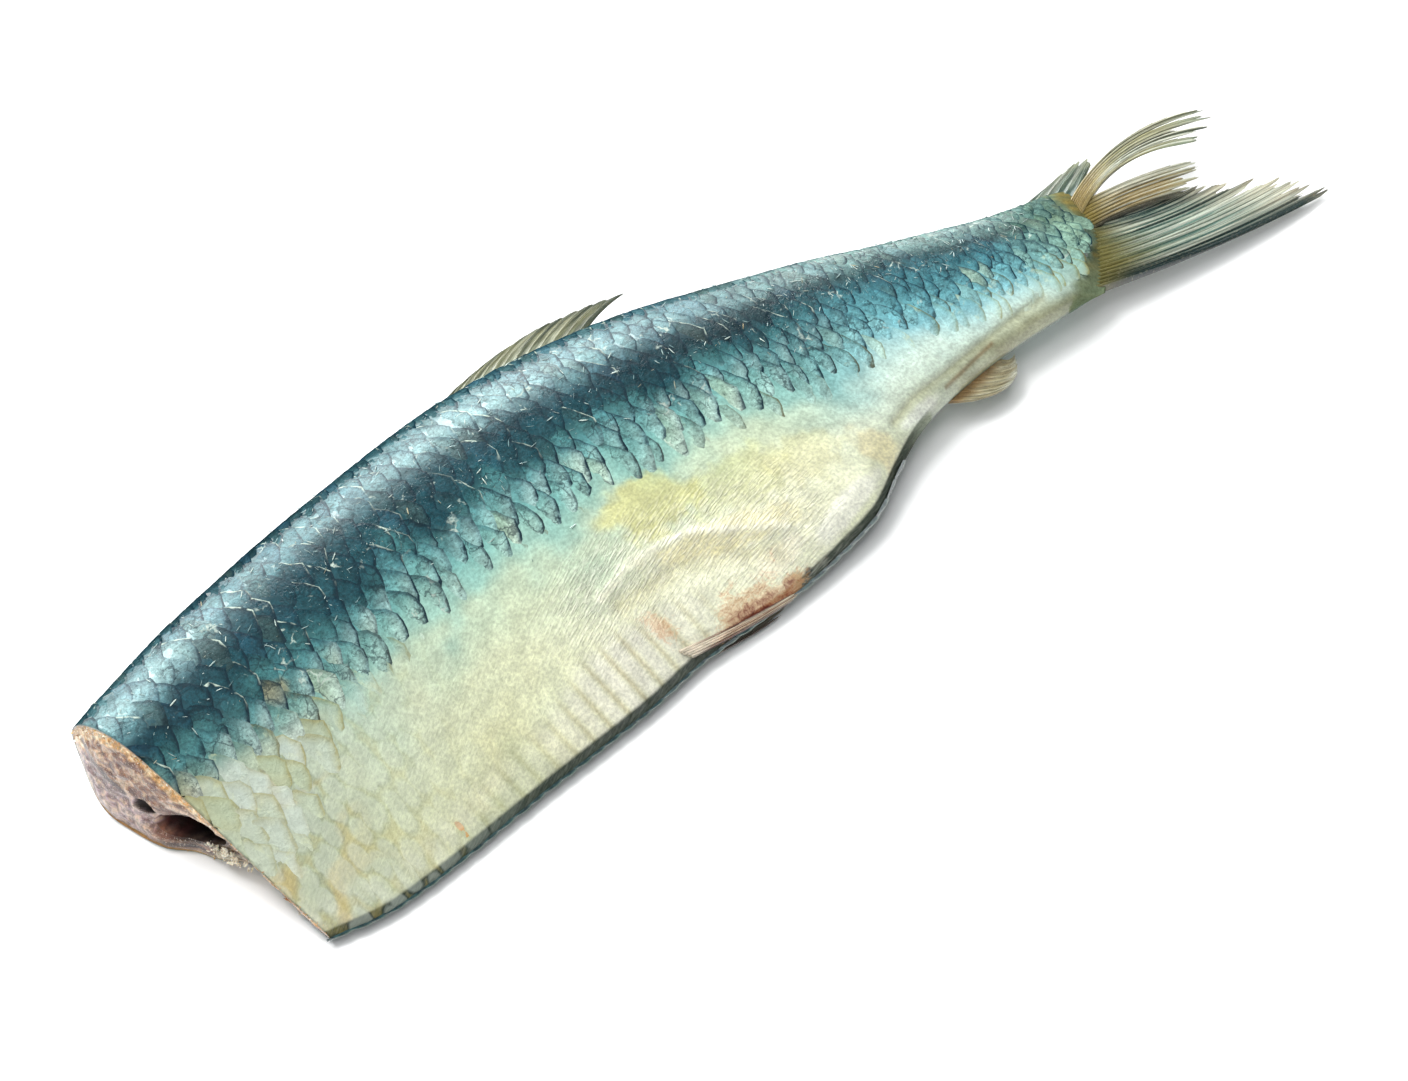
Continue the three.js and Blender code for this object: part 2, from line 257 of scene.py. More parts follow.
def closed_mesh(name, points, faces):
    """A closed mesh whose faces are turned outwards if they aren't yet."""
    volume = signed_volume(points, faces)
    if volume < 0:
        faces = [tuple(face)[::-1] for face in faces]
    obj = make_mesh(name, points, faces)
    obj.data.shade_smooth()
    print(f"{name}: {len(points)} points, {abs(volume) / 1000:.2f} cm3")
    return obj


def sleeve(name, rows):
    """A closed mesh through rings of points, with a fan of triangles over each end."""
    count = rows.shape[1]
    flat = rows.reshape(-1, 3)
    first, last = len(flat), len(flat) - count
    faces = ring_faces(len(rows), count)
    for j in range(count):
        n = (j + 1) % count
        faces += [(first, n, j), (first + 1, last + j, last + n)]
    return closed_mesh(name, np.concatenate([flat, [rows[0].mean(0), rows[-1].mean(0)]]), faces)


# %% [markdown]
# ## Tools for Geometry Nodes
# What repeats on the fish, such as scales, rays, scutes and vertebrae, is grown by a node tree
# that is built here in code. `grow` hands the tree its sizes by the sockets' identifiers, lets
# Blender work it out once, and keeps the result as a plain mesh, because an exported model can't
# hold instances.

# %% Tools for Geometry Nodes


def new_tree(name, inputs):
    """An empty geometry tree with named inputs, given as name: socket type."""
    group = bpy.data.node_groups.new(name, "GeometryNodeTree")
    sockets = group.interface
    sockets.new_socket("Geometry", in_out="INPUT", socket_type="NodeSocketGeometry")
    for label, kind in inputs.items():
        sockets.new_socket(label, in_out="INPUT", socket_type=f"NodeSocket{kind}")
    sockets.new_socket("Geometry", in_out="OUTPUT", socket_type="NodeSocketGeometry")
    return group, group.nodes.new("NodeGroupInput"), group.nodes.new("NodeGroupOutput")


def add_node(group, kind, settings=None, **inputs):
    """A node with its settings, and with each input set to a value or joined to a socket."""
    node = group.nodes.new(kind)
    for key, value in (settings or {}).items():
        setattr(node, key, value)
    for key, value in inputs.items():
        socket = node.inputs[int(key[1:]) if key[1:].isdigit() else key.replace("_", " ")]
        if isinstance(value, bpy.types.NodeSocket):
            group.links.new(value, socket)
        else:
            socket.default_value = value
    return node


def named(group, label, kind="FLOAT"):
    """The values that the points carry under a name."""
    node = add_node(group, "GeometryNodeInputNamedAttribute", {"data_type": kind}, Name=label)
    return node.outputs["Attribute"]


def finish_tree(group, geometry, material, output):
    """Ends a tree: instances become real, and take the material."""
    real = add_node(group, "GeometryNodeRealizeInstances", Geometry=geometry)
    dressed = add_node(
        group, "GeometryNodeSetMaterial",
        Geometry=real.outputs["Geometry"], Material=material)
    group.links.new(dressed.outputs["Geometry"], output.inputs["Geometry"])


def grow(source, group, values, name):
    """Works the tree out on the source object and keeps the result as a plain mesh."""
    modifier = source.modifiers.new("grow", "NODES")
    modifier.node_group = group
    for item in group.interface.items_tree:
        if item.item_type == "SOCKET" and item.in_out == "INPUT" and item.name in values:
            modifier[item.identifier] = values[item.name]
    graph = bpy.context.evaluated_depsgraph_get()
    mesh = bpy.data.meshes.new_from_object(source.evaluated_get(graph), depsgraph=graph)
    source.modifiers.remove(modifier)
    bpy.data.objects.remove(source)
    mesh.name = name
    obj = bpy.data.objects.new(name, mesh)
    bpy.context.collection.objects.link(obj)
    print(f"{name}: {len(mesh.polygons)} faces")
    return obj


# %% [markdown]
# ## Tools for materials
# A material is a small tree too. These helpers keep each one short to read: the coat of slime
# that makes a fresh fish wet is the same everywhere, so it sits on the shader itself.

# %% Tools for materials


def new_material(name, roughness, coat=0.6, coat_roughness=0.12, metallic=0.0, specular=0.5):
    """A material with the wet coat of a fresh fish."""
    material = bpy.data.materials.new(name)
    material.use_nodes = True
    inputs = material.node_tree.nodes["Principled BSDF"].inputs
    inputs["Roughness"].default_value = roughness
    inputs["Metallic"].default_value = metallic
    inputs["Specular IOR Level"].default_value = specular
    inputs["Coat Weight"].default_value = coat
    inputs["Coat Roughness"].default_value = coat_roughness
    inputs["Coat IOR"].default_value = 1.38
    return material


def let_light_in(material, weight, radius):
    """Light that goes under the surface and comes out again nearby."""
    inputs = material.node_tree.nodes["Principled BSDF"].inputs
    inputs["Subsurface Weight"].default_value = weight
    inputs["Subsurface Radius"].default_value = radius
    inputs["Subsurface Scale"].default_value = 1.0
    return material


def finish_material(material, colour, height, depth, strength=0.8, roughness=None):
    """Joins the colour and a fine relief of that depth in metres to the shader."""
    tree = material.node_tree
    inputs = tree.nodes["Principled BSDF"].inputs
    tree.links.new(colour, inputs["Base Color"])
    bump = add_node(tree, "ShaderNodeBump", Height=height, Distance=depth, Strength=strength)
    tree.links.new(bump.outputs[0], inputs["Normal"])
    if roughness is not None:
        tree.links.new(roughness, inputs["Roughness"])
    return material


def carried(material, name, output="Fac"):
    """A value that the mesh carries on its points."""
    node = add_node(material.node_tree, "ShaderNodeAttribute", {"attribute_name": name})
    return node.outputs[output]


def places(material):
    """Each point's own place in the piece, in metres."""
    return add_node(material.node_tree, "ShaderNodeTexCoord").outputs["Object"]


def calc(operation, a, b):
    """One step of arithmetic between a socket and a value or another socket."""
    return add_node(
        a.id_data, "ShaderNodeMath", {"operation": operation}, _0=a, _1=b).outputs[0]


def product(first, *others):
    """Sockets and numbers multiplied, one after another."""
    for other in others:
        first = calc("MULTIPLY", first, other)
    return first


def between(value, low, high, to_low=0.0, to_high=1.0):
    """A value eased from one range to another."""
    node = add_node(
        value.id_data, "ShaderNodeMapRange", {"interpolation_type": "SMOOTHSTEP"}, Value=value,
        From_Min=low, From_Max=high, To_Min=to_low, To_Max=to_high)
    return node.outputs[0]


def centred(value, width):
    """Noise from 0 to 1 as a wobble around 0, of that width."""
    node = add_node(
        value.id_data, "ShaderNodeMath", {"operation": "MULTIPLY_ADD"},
        _0=value, _1=width, _2=-width / 2)
    return node.outputs[0]


def mixed(share, under, over, kind="MIX"):
    """Two colours mixed by a share. Each of the three is a value or a socket."""
    sockets = [v for v in (share, under, over) if isinstance(v, bpy.types.NodeSocket)]
    under, over = (
        v if isinstance(v, bpy.types.NodeSocket) else (*v, 1) for v in (under, over))
    node = add_node(
        sockets[0].id_data, "ShaderNodeMix", {"data_type": "RGBA", "blend_type": kind},
        _0=share, _6=under, _7=over)
    return node.outputs[2]


def stretched(vector, size, turn=0.0):
    """Coordinates for a pattern whose features have that size, on axes turned about Z."""
    node = add_node(
        vector.id_data, "ShaderNodeMapping", {"vector_type": "TEXTURE"},
        Vector=vector, Scale=size, Rotation=(0, 0, turn))
    return node.outputs[0]


def noise(vector, scale, detail=2.0, roughness=0.5, warp=0.0, output="Fac"):
    """Cloudy noise, from 0 to 1."""
    node = add_node(
        vector.id_data, "ShaderNodeTexNoise", Vector=vector, Scale=scale, Detail=detail,
        Roughness=roughness, Distortion=warp)
    return node.outputs[output]


def shifted(vector, by):
    """Coordinates moved by a vector or a colour."""
    node = add_node(vector.id_data, "ShaderNodeVectorMath", {"operation": "ADD"}, _0=vector, _1=by)
    return node.outputs[0]


# %% [markdown]
# ## Lines of the body
# A fish's body can be sculpted, or lofted through sections. It is lofted here from the same
# named lines as the solid, so that both fit: the back, the keel, how high they lie, how far each
# flank swells, and how the swell falls away to the keel. Each place on the skin is named by its
# station x along the fish and by its share of the way from the back to the keel.

# %% Lines of the body
CUT_START = -112
CUT_SLANT = 17.5
ROOT = {"x": 87.5, "slant": 10, "bulge": 2.2}
back_line = through([
    (-112, 14.2), (-90, 21.8), (-60, 28.9), (-30, 33.3), (0, 31.8), (30, 25.2), (50, 19.6),
    (70, 14.8), (86, 12.8)])
keel_line = through([
    (-96, -34.7), (-82, -36.1), (-50, -31.9), (-30, -29.3), (-18, -26.9), (2, -25.2), (14, -23),
    (21, -21), (28, -16.7), (35, -13), (44, -10.4), (60, -8.2), (80, -7.7)])
back_height = through([(-112, 11), (-60, 12), (0, 12), (40, 11), (70, 9), (86, 8)])
keel_height = through([(-112, 2), (-60, 2), (0, 3), (25, 5), (40, 7.5), (70, 8)])
upper_swell = through([
    (-112, 13.5), (-40, 13.5), (0, 12.5), (30, 9.5), (50, 7), (70, 5), (82, 3.4), (94, 0.7)])
lower_swell = through([
    (-112, 9.6), (-40, 9.8), (0, 9.8), (30, 8.6), (50, 7), (70, 5), (82, 3.4), (94, 0.7)])
fullest = through([(-112, 0.27), (-60, 0.3), (0, 0.36), (40, 0.45), (86, 0.5)])
belly_share = through([(-112, 0.11), (-60, 0.16), (0, 0.2), (30, 0.3), (86, 0.4)])
taper_round = through([(-112, 1.5), (-60, 1.7), (0, 1.9), (30, 2), (86, 2)])
taper_hollow = through([(-112, 2.2), (-60, 1.5), (0, 1), (30, 0.7), (86, 0.5)])
lower_cut = through([
    (0, -112), (0.15, -112.8), (0.27, -111.2), (0.42, -107.9), (0.5, -104.2), (0.58, -101.4),
    (0.65, -98), (0.73, -96.6), (0.9, -95.8), (1, -94.5)])
FOLD = {"x": -9, "y": -12, "length": 13, "width": 2.2, "height": 0.8, "turn": -0.16}


def fullness(x, share):
    """How full the section at x is at a share of the way from back to keel, 0 to 1."""
    peak, belly = fullest(x), belly_share(x)
    above = np.sqrt(np.clip(1 - ((peak - share) / peak) ** 2, 0, 1))
    r = np.clip((share - peak) / (1 - peak), 0, 1)
    taper = (1 - r ** taper_round(x)) ** taper_hollow(x)
    below = (1 - belly) * taper + belly * np.sqrt(np.clip(1 - r**8, 0, 1))
    return np.where(share < peak, above, below)


def fold_height(x, y):
    """Height of the long fold in the belly's skin."""
    c, s = math.cos(FOLD["turn"]), math.sin(FOLD["turn"])
    along = (x - FOLD["x"]) * c + (y - FOLD["y"]) * s
    across = (y - FOLD["y"]) * c - (x - FOLD["x"]) * s
    return FOLD["height"] * hump(along, 0, FOLD["length"]) * hump(across, 0, FOLD["width"])


def y_at(x, share):
    """Where a share of the way from back to keel lies at x."""
    return back_line(x) + (keel_line(x) - back_line(x)) * share


def middle_at(x, share):
    """The height halfway between the flanks."""
    return back_height(x) + (keel_height(x) - back_height(x)) * share


def skin_point(x, share, side):
    """A point of the skin: side is 1 on the flank that is up and -1 on the one underneath."""
    x, share, side = np.broadcast_arrays(*(np.asarray(v, float) for v in (x, share, side)))
    y, middle, full = y_at(x, share), middle_at(x, share), fullness(x, share)
    fold = np.where((share > 0) & (share < 1), fold_height(x, y), 0)
    high = middle + upper_swell(x) * full + fold
    low = np.maximum(0, middle - lower_swell(x) * full)
    return np.stack([x, y, np.where(side > 0, high, low)], -1)


def cut_x(share, side):
    """Where the slanting head cut passes on either flank."""
    return np.where(side > 0, CUT_START + CUT_SLANT * share, lower_cut(share))


def root_x(share):
    """Where the scaled skin ends in the tail fin."""
    return ROOT["x"] - ROOT["slant"] * share + ROOT["bulge"] * 4 * share * (1 - share)


def scale_end(share):
    """Where the last scales give way to the olive skin of the tail root."""
    return root_x(share) - 6.8 + 5.2 * hump(share, 0.56, 0.26)


middle_section = skin_point(-50, np.linspace(0, 1, 80), 1)
print("deepest section:", round(float(np.ptp(middle_section[:, 1])), 1), "mm deep")

# %% [markdown]
# ## Girth
# Patterns that belong to the skin, such as the rows of scales, follow the way round the body
# and not the way down. So the distance from the crest of the back is measured over the curve of
# the flank at many stations, and read back from that table. Its shares crowd towards the back,
# where the flank curves most.

# %% Girth of the flank
CROWDING = 1.3
GIRTH_STATIONS = np.linspace(-116, 98, 108)
GIRTH_SHARES = np.linspace(0, 1, 161) ** CROWDING


def measure_girth():
    """The way from the back to each share, over the flank that is up, at each station."""
    x, share = np.meshgrid(GIRTH_STATIONS, GIRTH_SHARES, indexing="ij")
    points = skin_point(x, share, 1)
    steps = np.linalg.norm(np.diff(points[..., 1:], axis=1), axis=-1)
    return np.concatenate([np.zeros((len(x), 1)), np.cumsum(steps, 1)], 1)


girth_table = measure_girth()


def girth_at(x, share):
    """The way round from the crest of the back, in millimetres."""
    x, share = np.broadcast_arrays(np.asarray(x, float), np.asarray(share, float))
    rows, columns = len(GIRTH_STATIONS) - 1, len(GIRTH_SHARES) - 1
    a = np.clip((x - GIRTH_STATIONS[0]) / np.ptp(GIRTH_STATIONS), 0, 1) * rows
    b = np.clip(share, 0, 1) ** (1 / CROWDING) * columns
    i, j = np.minimum(a.astype(int), rows - 1), np.minimum(b.astype(int), columns - 1)
    s, t = a - i, b - j
    near = girth_table[i, j] * (1 - t) + girth_table[i, j + 1] * t
    far = girth_table[i + 1, j] * (1 - t) + girth_table[i + 1, j + 1] * t
    return near * (1 - s) + far * s


def share_at(x, girth):
    """The share at which a place's girth is reached, found by halving."""
    low = np.zeros(np.broadcast(x, girth).shape)
    high = low + 1
    for _ in range(15):
        middle = (low + high) / 2
        short = girth_at(x, middle) < girth
        low, high = np.where(short, middle, low), np.where(short, high, middle)
    return (low + high) / 2


print("girth from back to keel at the deepest place:", round(float(girth_at(-50, 1)), 1), "mm")

# %% [markdown]
# ## Colours of the skin
# A herring's back is dark blue-green, its flank turquoise and its belly cream. One number, the
# tone, runs from 0 at the crest over 1 at the foot of the dark back and 2 where the blue ends to
# 3 at the keel, and a row of named colours hangs on it. The colours could be painted in a picture
# on the skin. A rule is used instead, because scales and skin can then both ask it for the
# colour of any place.

# %% Colours of the skin
BLACK = (0, 0, 0)
dark_end = through([
    (-112, 0.42), (-90, 0.405), (-70, 0.385), (-50, 0.355), (-20, 0.36), (10, 0.34), (35, 0.335),
    (60, 0.34), (88, 0.35)])
blue_end = through([
    (-112, 0.48), (-80, 0.53), (-45, 0.56), (-20, 0.57), (10, 0.6), (35, 0.69), (88, 0.8)])
# The pale rows of both tables near the crest are a painted highlight: the lamp's reflection.
SKIN_TONES = [
    (0.0, 22, 48, 56), (0.1, 32, 64, 70), (0.25, 98, 134, 138),
    (0.42, 74, 114, 120), (0.62, 22, 58, 68), (0.9, 26, 68, 76),
    (1.0, 52, 100, 102), (1.2, 84, 140, 142), (1.5, 116, 172, 166),
    (1.85, 152, 191, 176), (2.05, 186, 204, 178), (2.4, 206, 212, 178),
    (2.8, 206, 206, 164), (3.0, 184, 190, 148)]
REAR_TONES = [
    (0.0, 108, 136, 132), (0.14, 150, 180, 174), (0.45, 118, 154, 150),
    (0.74, 46, 82, 86), (0.95, 50, 100, 110), (1.25, 76, 136, 146),
    (1.6, 100, 160, 168), (1.9, 120, 174, 182), (2.15, 170, 206, 204),
    (2.5, 202, 224, 212), (3.0, 184, 190, 160)]


def tone_at(x, share):
    """The tone of a place: 0 crest, 1 foot of the dark back, 2 end of the blue, 3 keel."""
    dark, blue = dark_end(x), blue_end(x)
    middle = 1 + (share - dark) / (blue - dark)
    low = 2 + (share - blue) / (1 - blue)
    return np.where(share < dark, share / dark, np.where(share < blue, middle, low))


def colour_on(tones, value):
    """The colour that a row of tones gives to a value."""
    at = [row[0] for row in tones]
    light = np.array([tone(*row[1:]) for row in tones])
    return np.stack([np.interp(value, at, light[:, k]) for k in range(3)], -1)


# %% [markdown]
# ## Marks on the skin
# No two herrings are alike. This one has an olive-yellow patch above the belly fold, blood
# stains where the ribs press on the belly wall, an orange scuff near the cut and ochre veins.
# Each mark is an ellipse at a named place, and noise eats its edge away. The pale marks on the
# belly fold and by the vent are painted highlights.

# %% Marks on the skin
# The pale marks on the belly fold and at the vent are painted highlights; the fold's is partly
# cream.
# name: (x, y, half length, half width, turn, raggedness, strength, colour)
MARKS = {
    "yellow_front": (-13.5, -4.6, 9, 5.2, -0.25, 0.9, 0.75, (204, 200, 132)),
    "yellow_middle": (0.5, -7.6, 10, 5.4, -0.1, 0.9, 0.46, (202, 202, 136)),
    "yellow_rear": (13, -9.3, 8, 4, -0.1, 1.0, 0.34, (212, 204, 140)),
    "cream_fold_with_highlight": (-5, -13.6, 15, 2.6, -0.16, 0.6, 0.75, (250, 240, 188)),
    "pale_pad": (1.5, -20, 6, 2.0, 0.2, 0.8, 0.55, (240, 232, 208)),
    "dark_dot": (5.0, -23.6, 0.8, 0.5, 0.0, 0.8, 0.95, (40, 26, 16)),
    "olive_dot": (2.6, -23.6, 2.0, 0.7, 0.1, 0.8, 0.7, (150, 128, 78)),
    "scuff": (-82.6, -0.8, 3.0, 1.9, -0.4, 0.9, 0.5, (168, 144, 92)),
    "vent_flush": (26, -13.5, 5, 2.6, -0.8, 0.9, 0.4, (236, 216, 160)),
    "vent_swell_highlight": (15.5, -18.9, 9, 2.0, 0.28, 0.5, 0.7, (255, 254, 240)),
    "vent_gloss_highlight": (36, -11.2, 5, 1.0, 0.22, 0.5, 0.5, (252, 253, 246)),
}
# The fold's crest gets a painted highlight and its valley painted shade, besides their relief.
FOLD_CREST = [(-29, -12.6), (-22, -10.4), (-15, -10.1), (-9, -11.2), (-3.5, -13.6), (5, -17)]
FOLD_VALLEY = [(-26, -15), (-14, -14.2), (-6, -16.4), (2, -19.6)]
EDGE_GROOVE = [(31, -11.2), (36, -9.4), (44, -8.2), (56, -6.2), (66, -5)]
FIN_GROOVE = [(42.6, -9.7), (48, -8.6), (54, -7.4)]
# name: (x, y, half length, half width, turn, raggedness, strength)
BLOOD = {
    "front": (-22, -20.4, 3.8, 2.0, -0.9, 0.9, 0.56),
    "line": (-8.6, -20.4, 2.4, 1.1, 0.2, 0.9, 0.56),
    "spot": (0.4, -19.6, 1.6, 0.6, 0.9, 0.9, 0.44),
    "pads": (-7, -22.6, 6.5, 1.7, 0.05, 1.0, 0.62),
    "main": (-5.6, -24.0, 8.6, 1.4, 0.03, 0.8, 0.86),
    "rear": (1.2, -23.6, 2.8, 1.1, 0.3, 0.8, 0.76),
    "dark": (-6.5, -25.0, 8.5, 0.9, 0.03, 0.7, 1.15),
}


def near_line(x, y, line, width):
    """A soft band along a broken line, 1 at its middle and 0 outside."""
    best = np.zeros(np.broadcast(x, y).shape)
    for (ax, ay), (bx, by) in zip(line, line[1:]):
        wide, high = bx - ax, by - ay
        t = np.clip(((x - ax) * wide + (y - ay) * high) / (wide**2 + high**2), 0, 1)
        apart = (x - ax - t * wide) ** 2 + (y - ay - t * high) ** 2
        best = np.maximum(best, np.exp(-apart / width**2))
    return best


def reach_of(x, y, mark, seed):
    """How far a place is from a mark's middle: 1 at its ragged edge."""
    cx, cy, length, width, turn, ragged = mark[:6]
    c, s = math.cos(turn), math.sin(turn)
    along, across = (x - cx) * c + (y - cy) * s, (y - cy) * c - (x - cx) * s
    r = np.sqrt((along / length) ** 2 + (across / width) ** 2)
    eaten = clouds(x, y, 2.6, seed) * 0.6 + clouds(x, y, 1.1, seed + 9) * 0.4 - 0.5
    return r + eaten * ragged


def patch(x, y, mark, seed):
    """How strongly a mark covers a place, 0 to 1."""
    return mark[6] * smooth(1.15, 0.6, reach_of(x, y, mark, seed))


def stain(x, y, mark, seed):
    """A mark that soaks away softly at its edge."""
    return mark[6] * hump(np.maximum(reach_of(x, y, mark, seed), 0), 0, 1)


def rib_phase(x, share):
    """Where a place lies between two ribs: whole numbers are the grooves between them."""
    lean = girth_at(x, share) - girth_at(x, 1)
    return (x - 0.25 * lean) / 3.7


def rib_area(x, share):
    """The belly wall near the keel, where the ribs show through."""
    front = smooth(-106, -96, x) * (1 - smooth(-14, -8, x))
    front = front * (0.3 + 0.7 * hump(x, -30, 15))
    low = through([(-112, 0.9), (-80, 0.9), (-50, 0.88), (-34, 0.82), (-20, 0.84), (0, 0.92)])(x)
    return front * smooth(low - 0.03, low + 0.04, share) * (1 - smooth(0.985, 1.0, share))


print("marks:", ", ".join(MARKS), "and", len(BLOOD), "stains of blood")

# %% [markdown]
# ## Paint of the skin
# The skin is painted as a painter would do it: a ground by the tone, then one thin coat over
# another, each with a share that says where it lies and how much it covers. A list of coats is
# easy to read and to change. Some coats are painted light: a highlight along the back and on the
# belly fold, and shade in the fold's valley and on the flank underneath. Painted shade at the keel
# comes last.

# %% Paint of the skin


def paint_skin(x, share, side):
    """The colour of any place on the skin."""
    girth = girth_at(x, share)
    y = y_at(x, share)
    wander = (clouds(x, girth, 9, 3) - 0.5) * 0.36 + (clouds(x, girth, 3, 5) - 0.5) * 0.16
    value = np.clip(tone_at(x, share) + wander * smooth(0.3, 0.9, share * 3), 0, 3)
    early = smooth(-40, -60, x) * smooth(-92, -78, x)
    early = early * smooth(0.3, 0.46, value) * smooth(0.95, 0.7, value)
    value = value + 0.14 * early
    colour = blend(colour_on(SKIN_TONES, value), colour_on(REAR_TONES, value), smooth(8, 42, x))
    calm = 0.26 * smooth(2, 28, x) * smooth(78, 66, x) * smooth(1.75, 1.3, value)
    calm = calm + 0.42 * hump(x, 10, 15) * hump(share, 0.26, 0.045)
    calm = calm + 0.4 * hump(x, -73, 18) * smooth(0.09, 0.06, share)
    # Painted highlight: a pale band along the back, where the lamp behind the fish is reflected.
    painted_highlight_strip = hump(x, -24, 34) * hump(share, 0.15, 0.045)
    painted_highlight_strip = painted_highlight_strip + 1.1 * hump(x, -98, 13) * hump(share, 0.15, 0.05)
    belly = smooth(2.0, 2.5, value)
    front = smooth(-62, -100, x) * belly
    dim = (0.12 * smooth(-40, -70, x) + 0.26 * smooth(-70, -92, x)) * smooth(1.0, 1.4, value)
    bright = hump(x, -4, 34) * belly * smooth(0.58, 0.8, share)
    veins = smooth(0.72, 0.9, 1 - np.abs(clouds(x, girth, 5.5, 23) - 0.5) * 2)
    near_cut = smooth(-74, -92, x) * smooth(1.7, 2.2, value)
    cut_edge = smooth(6, 0.5, x - cut_x(share, side)) * smooth(1.0, 1.6, value)
    ribs = rib_area(x, share)
    groove = np.cos(rib_phase(x, share) * 2 * np.pi) * 0.5 + 0.5
    upper = np.asarray(side) > 0
    crease = smooth(40, 48, x) * smooth(0.89, 0.98, share)
    root = smooth(-1.6, 1.0, x - scale_end(share) + 2.6 * (clouds(x, girth, 1.8, 41) - 0.5))
    matt = smooth(62, 80, x) * (0.75 + 0.25 * clouds(x, girth, 3, 43))
    light_side = smooth(0.16, 0.42, share) * smooth(0.98, 0.82, share) * smooth(90, 82, x)
    dull = blend(tone(70, 94, 70), tone(134, 158, 132), light_side)
    dull = blend(dull, tone(128, 136, 98), 0.62 * smooth(76, 90, x))
    olive = blend(tone(136, 120, 66), tone(84, 92, 66), clouds(x * 0.3, girth, 0.8, 44))
    olive = blend(olive, tone(116, 132, 104), 0.8 * smooth(0.66, 0.9, share))
    # Painted highlight along the crest of the belly fold.
    crest = near_line(x, y, FOLD_CREST, 0.55) * upper
    # The keel's side and the lower flank near the keel, which the last coat darkens as painted
    # shade.
    wet = np.where(side < 0, smooth(0.82, 0.94, share), smooth(0.973, 0.982, share))
    return coats(colour, [
        (BLACK, calm),
        # painted highlight along the back
        ((190, 224, 222), 0.4 * painted_highlight_strip * (side > 0)),
        ((170, 190, 146), front * (0.4 + 0.3 * clouds(x, girth, 7, 11))),
        (BLACK, dim),
        ((246, 246, 218), 0.75 * bright),
        ((184, 158, 88), 0.5 * veins * near_cut),
        ((190, 164, 104), 0.4 * cut_edge * clouds(x, girth, 3, 31)),
        ((226, 222, 212), 0.62 * ribs * (1 - groove**3)),
        ((160, 140, 108), 0.55 * ribs * groove**9),
        *((mark[7], patch(x, y, mark, 40 + k) * upper) for k, mark in enumerate(MARKS.values())),
        ((144, 138, 98), 0.56 * crease * (0.5 + clouds(x, girth, 4, 37))),
        (dull, 0.86 * matt),
        (olive, 0.95 * root),
        # painted shade on the flank underneath, towards the keel
        ((120, 140, 132), 0.55 * smooth(2.0, 3.0, value) * (side < 0)),
        ((154, 148, 104), 0.5 * near_line(x, y, EDGE_GROOVE, 0.9) * upper),
        ((116, 88, 50), 0.7 * near_line(x, y, FIN_GROOVE, 0.28) * upper),
        # painted highlight on the fold's crest, then painted shade in its valley
        ((255, 252, 226), 0.8 * crest * (0.5 + clouds(x, y, 1.2, 45))),
        ((214, 204, 150), 0.4 * near_line(x, y, FOLD_VALLEY, 1.6) * upper),
        # painted shade on the keel's side and on the lower flank near it
        ((14, 34, 38), 0.92 * wet * smooth(44, 30, x)),
    ])


# %% [markdown]
# ## Material of the skin
# Under the scales the skin is thin, wet and finely creased. Its colour comes with the mesh. The
# material adds what is finer than the mesh: mottling, pale blurred cells where the last scales
# near the cut lie under slime, and slanting creases. The keel and the tail root do not shine,
# so they get a dull kind of the same material.

# %% Material of the skin


def make_skin_material(name, coat, specular):
    material = new_material(name, 0.36, coat=coat, metallic=0.03, specular=specular)
    flank = carried(material, "flank", "Vector")
    net = carried(material, "net")
    mottle = noise(flank, 0.32, 4, 0.6)
    fine = noise(flank, 1.7, 3, 0.6)
    grain = product(between(mottle, 0.3, 0.7, 0.84, 1.12), between(fine, 0.3, 0.7, 0.8, 1.12))
    base = mixed(1.0, carried(material, "paint", "Color"), grain, "MULTIPLY")
    bent = shifted(flank, noise(flank, 0.35, output="Color"))
    cells = add_node(
        material.node_tree, "ShaderNodeTexVoronoi",
        {"feature": "SMOOTH_F1", "voronoi_dimensions": "2D"},
        Vector=stretched(bent, (2.5, 5.2, 1), -0.24), Scale=1.0, Smoothness=0.12)
    from_cell = cells.outputs["Distance"]
    pale = product(between(from_cell, 0.6, 0.42), net)
    gaps = product(between(from_cell, 0.56, 0.7), between(mottle, 0.35, 0.6, 0.1, 1.0), net)
    base = mixed(product(pale, 0.25), base, tone(204, 214, 202))
    base = mixed(product(gaps, 0.3), base, tone(168, 154, 90))
    creases = noise(stretched(flank, (2.4, 0.42, 1), -0.5), 1, 3, 0.6, 0.4)
    crease = product(between(creases, 0.38, 0.68), carried(material, "crease"))
    base = mixed(product(crease, 0.42), base, tone(253, 251, 234))
    blots = centred(noise(flank, 0.9, 6, 0.74, 1.2), 1.5)
    blood = calc("ADD", carried(material, "blood"), blots)
    base = mixed(between(blood, 0.2, 0.6, 0, 0.6), base, tone(216, 170, 122))
    base = mixed(between(blood, 0.45, 0.95, 0, 0.85), base, tone(140, 80, 60))
    base = mixed(between(blood, 0.8, 1.15, 0, 0.85), base, tone(78, 34, 32))
    height = calc("ADD", product(crease, 1.5), product(fine, 0.5))
    height = calc("ADD", height, product(pale, 0.6))
    wet = between(noise(flank, 0.2, 3), 0.35, 0.65, 0.28, 0.46)
    return finish_material(material, base, height, 0.0002, roughness=wet)


skin_material = make_skin_material("wet herring skin", 0.6, 0.5)
keel_material = make_skin_material("dull skin of keel and tail root", 0.0, 0.0)
print("materials:", skin_material.name, "and", keel_material.name)

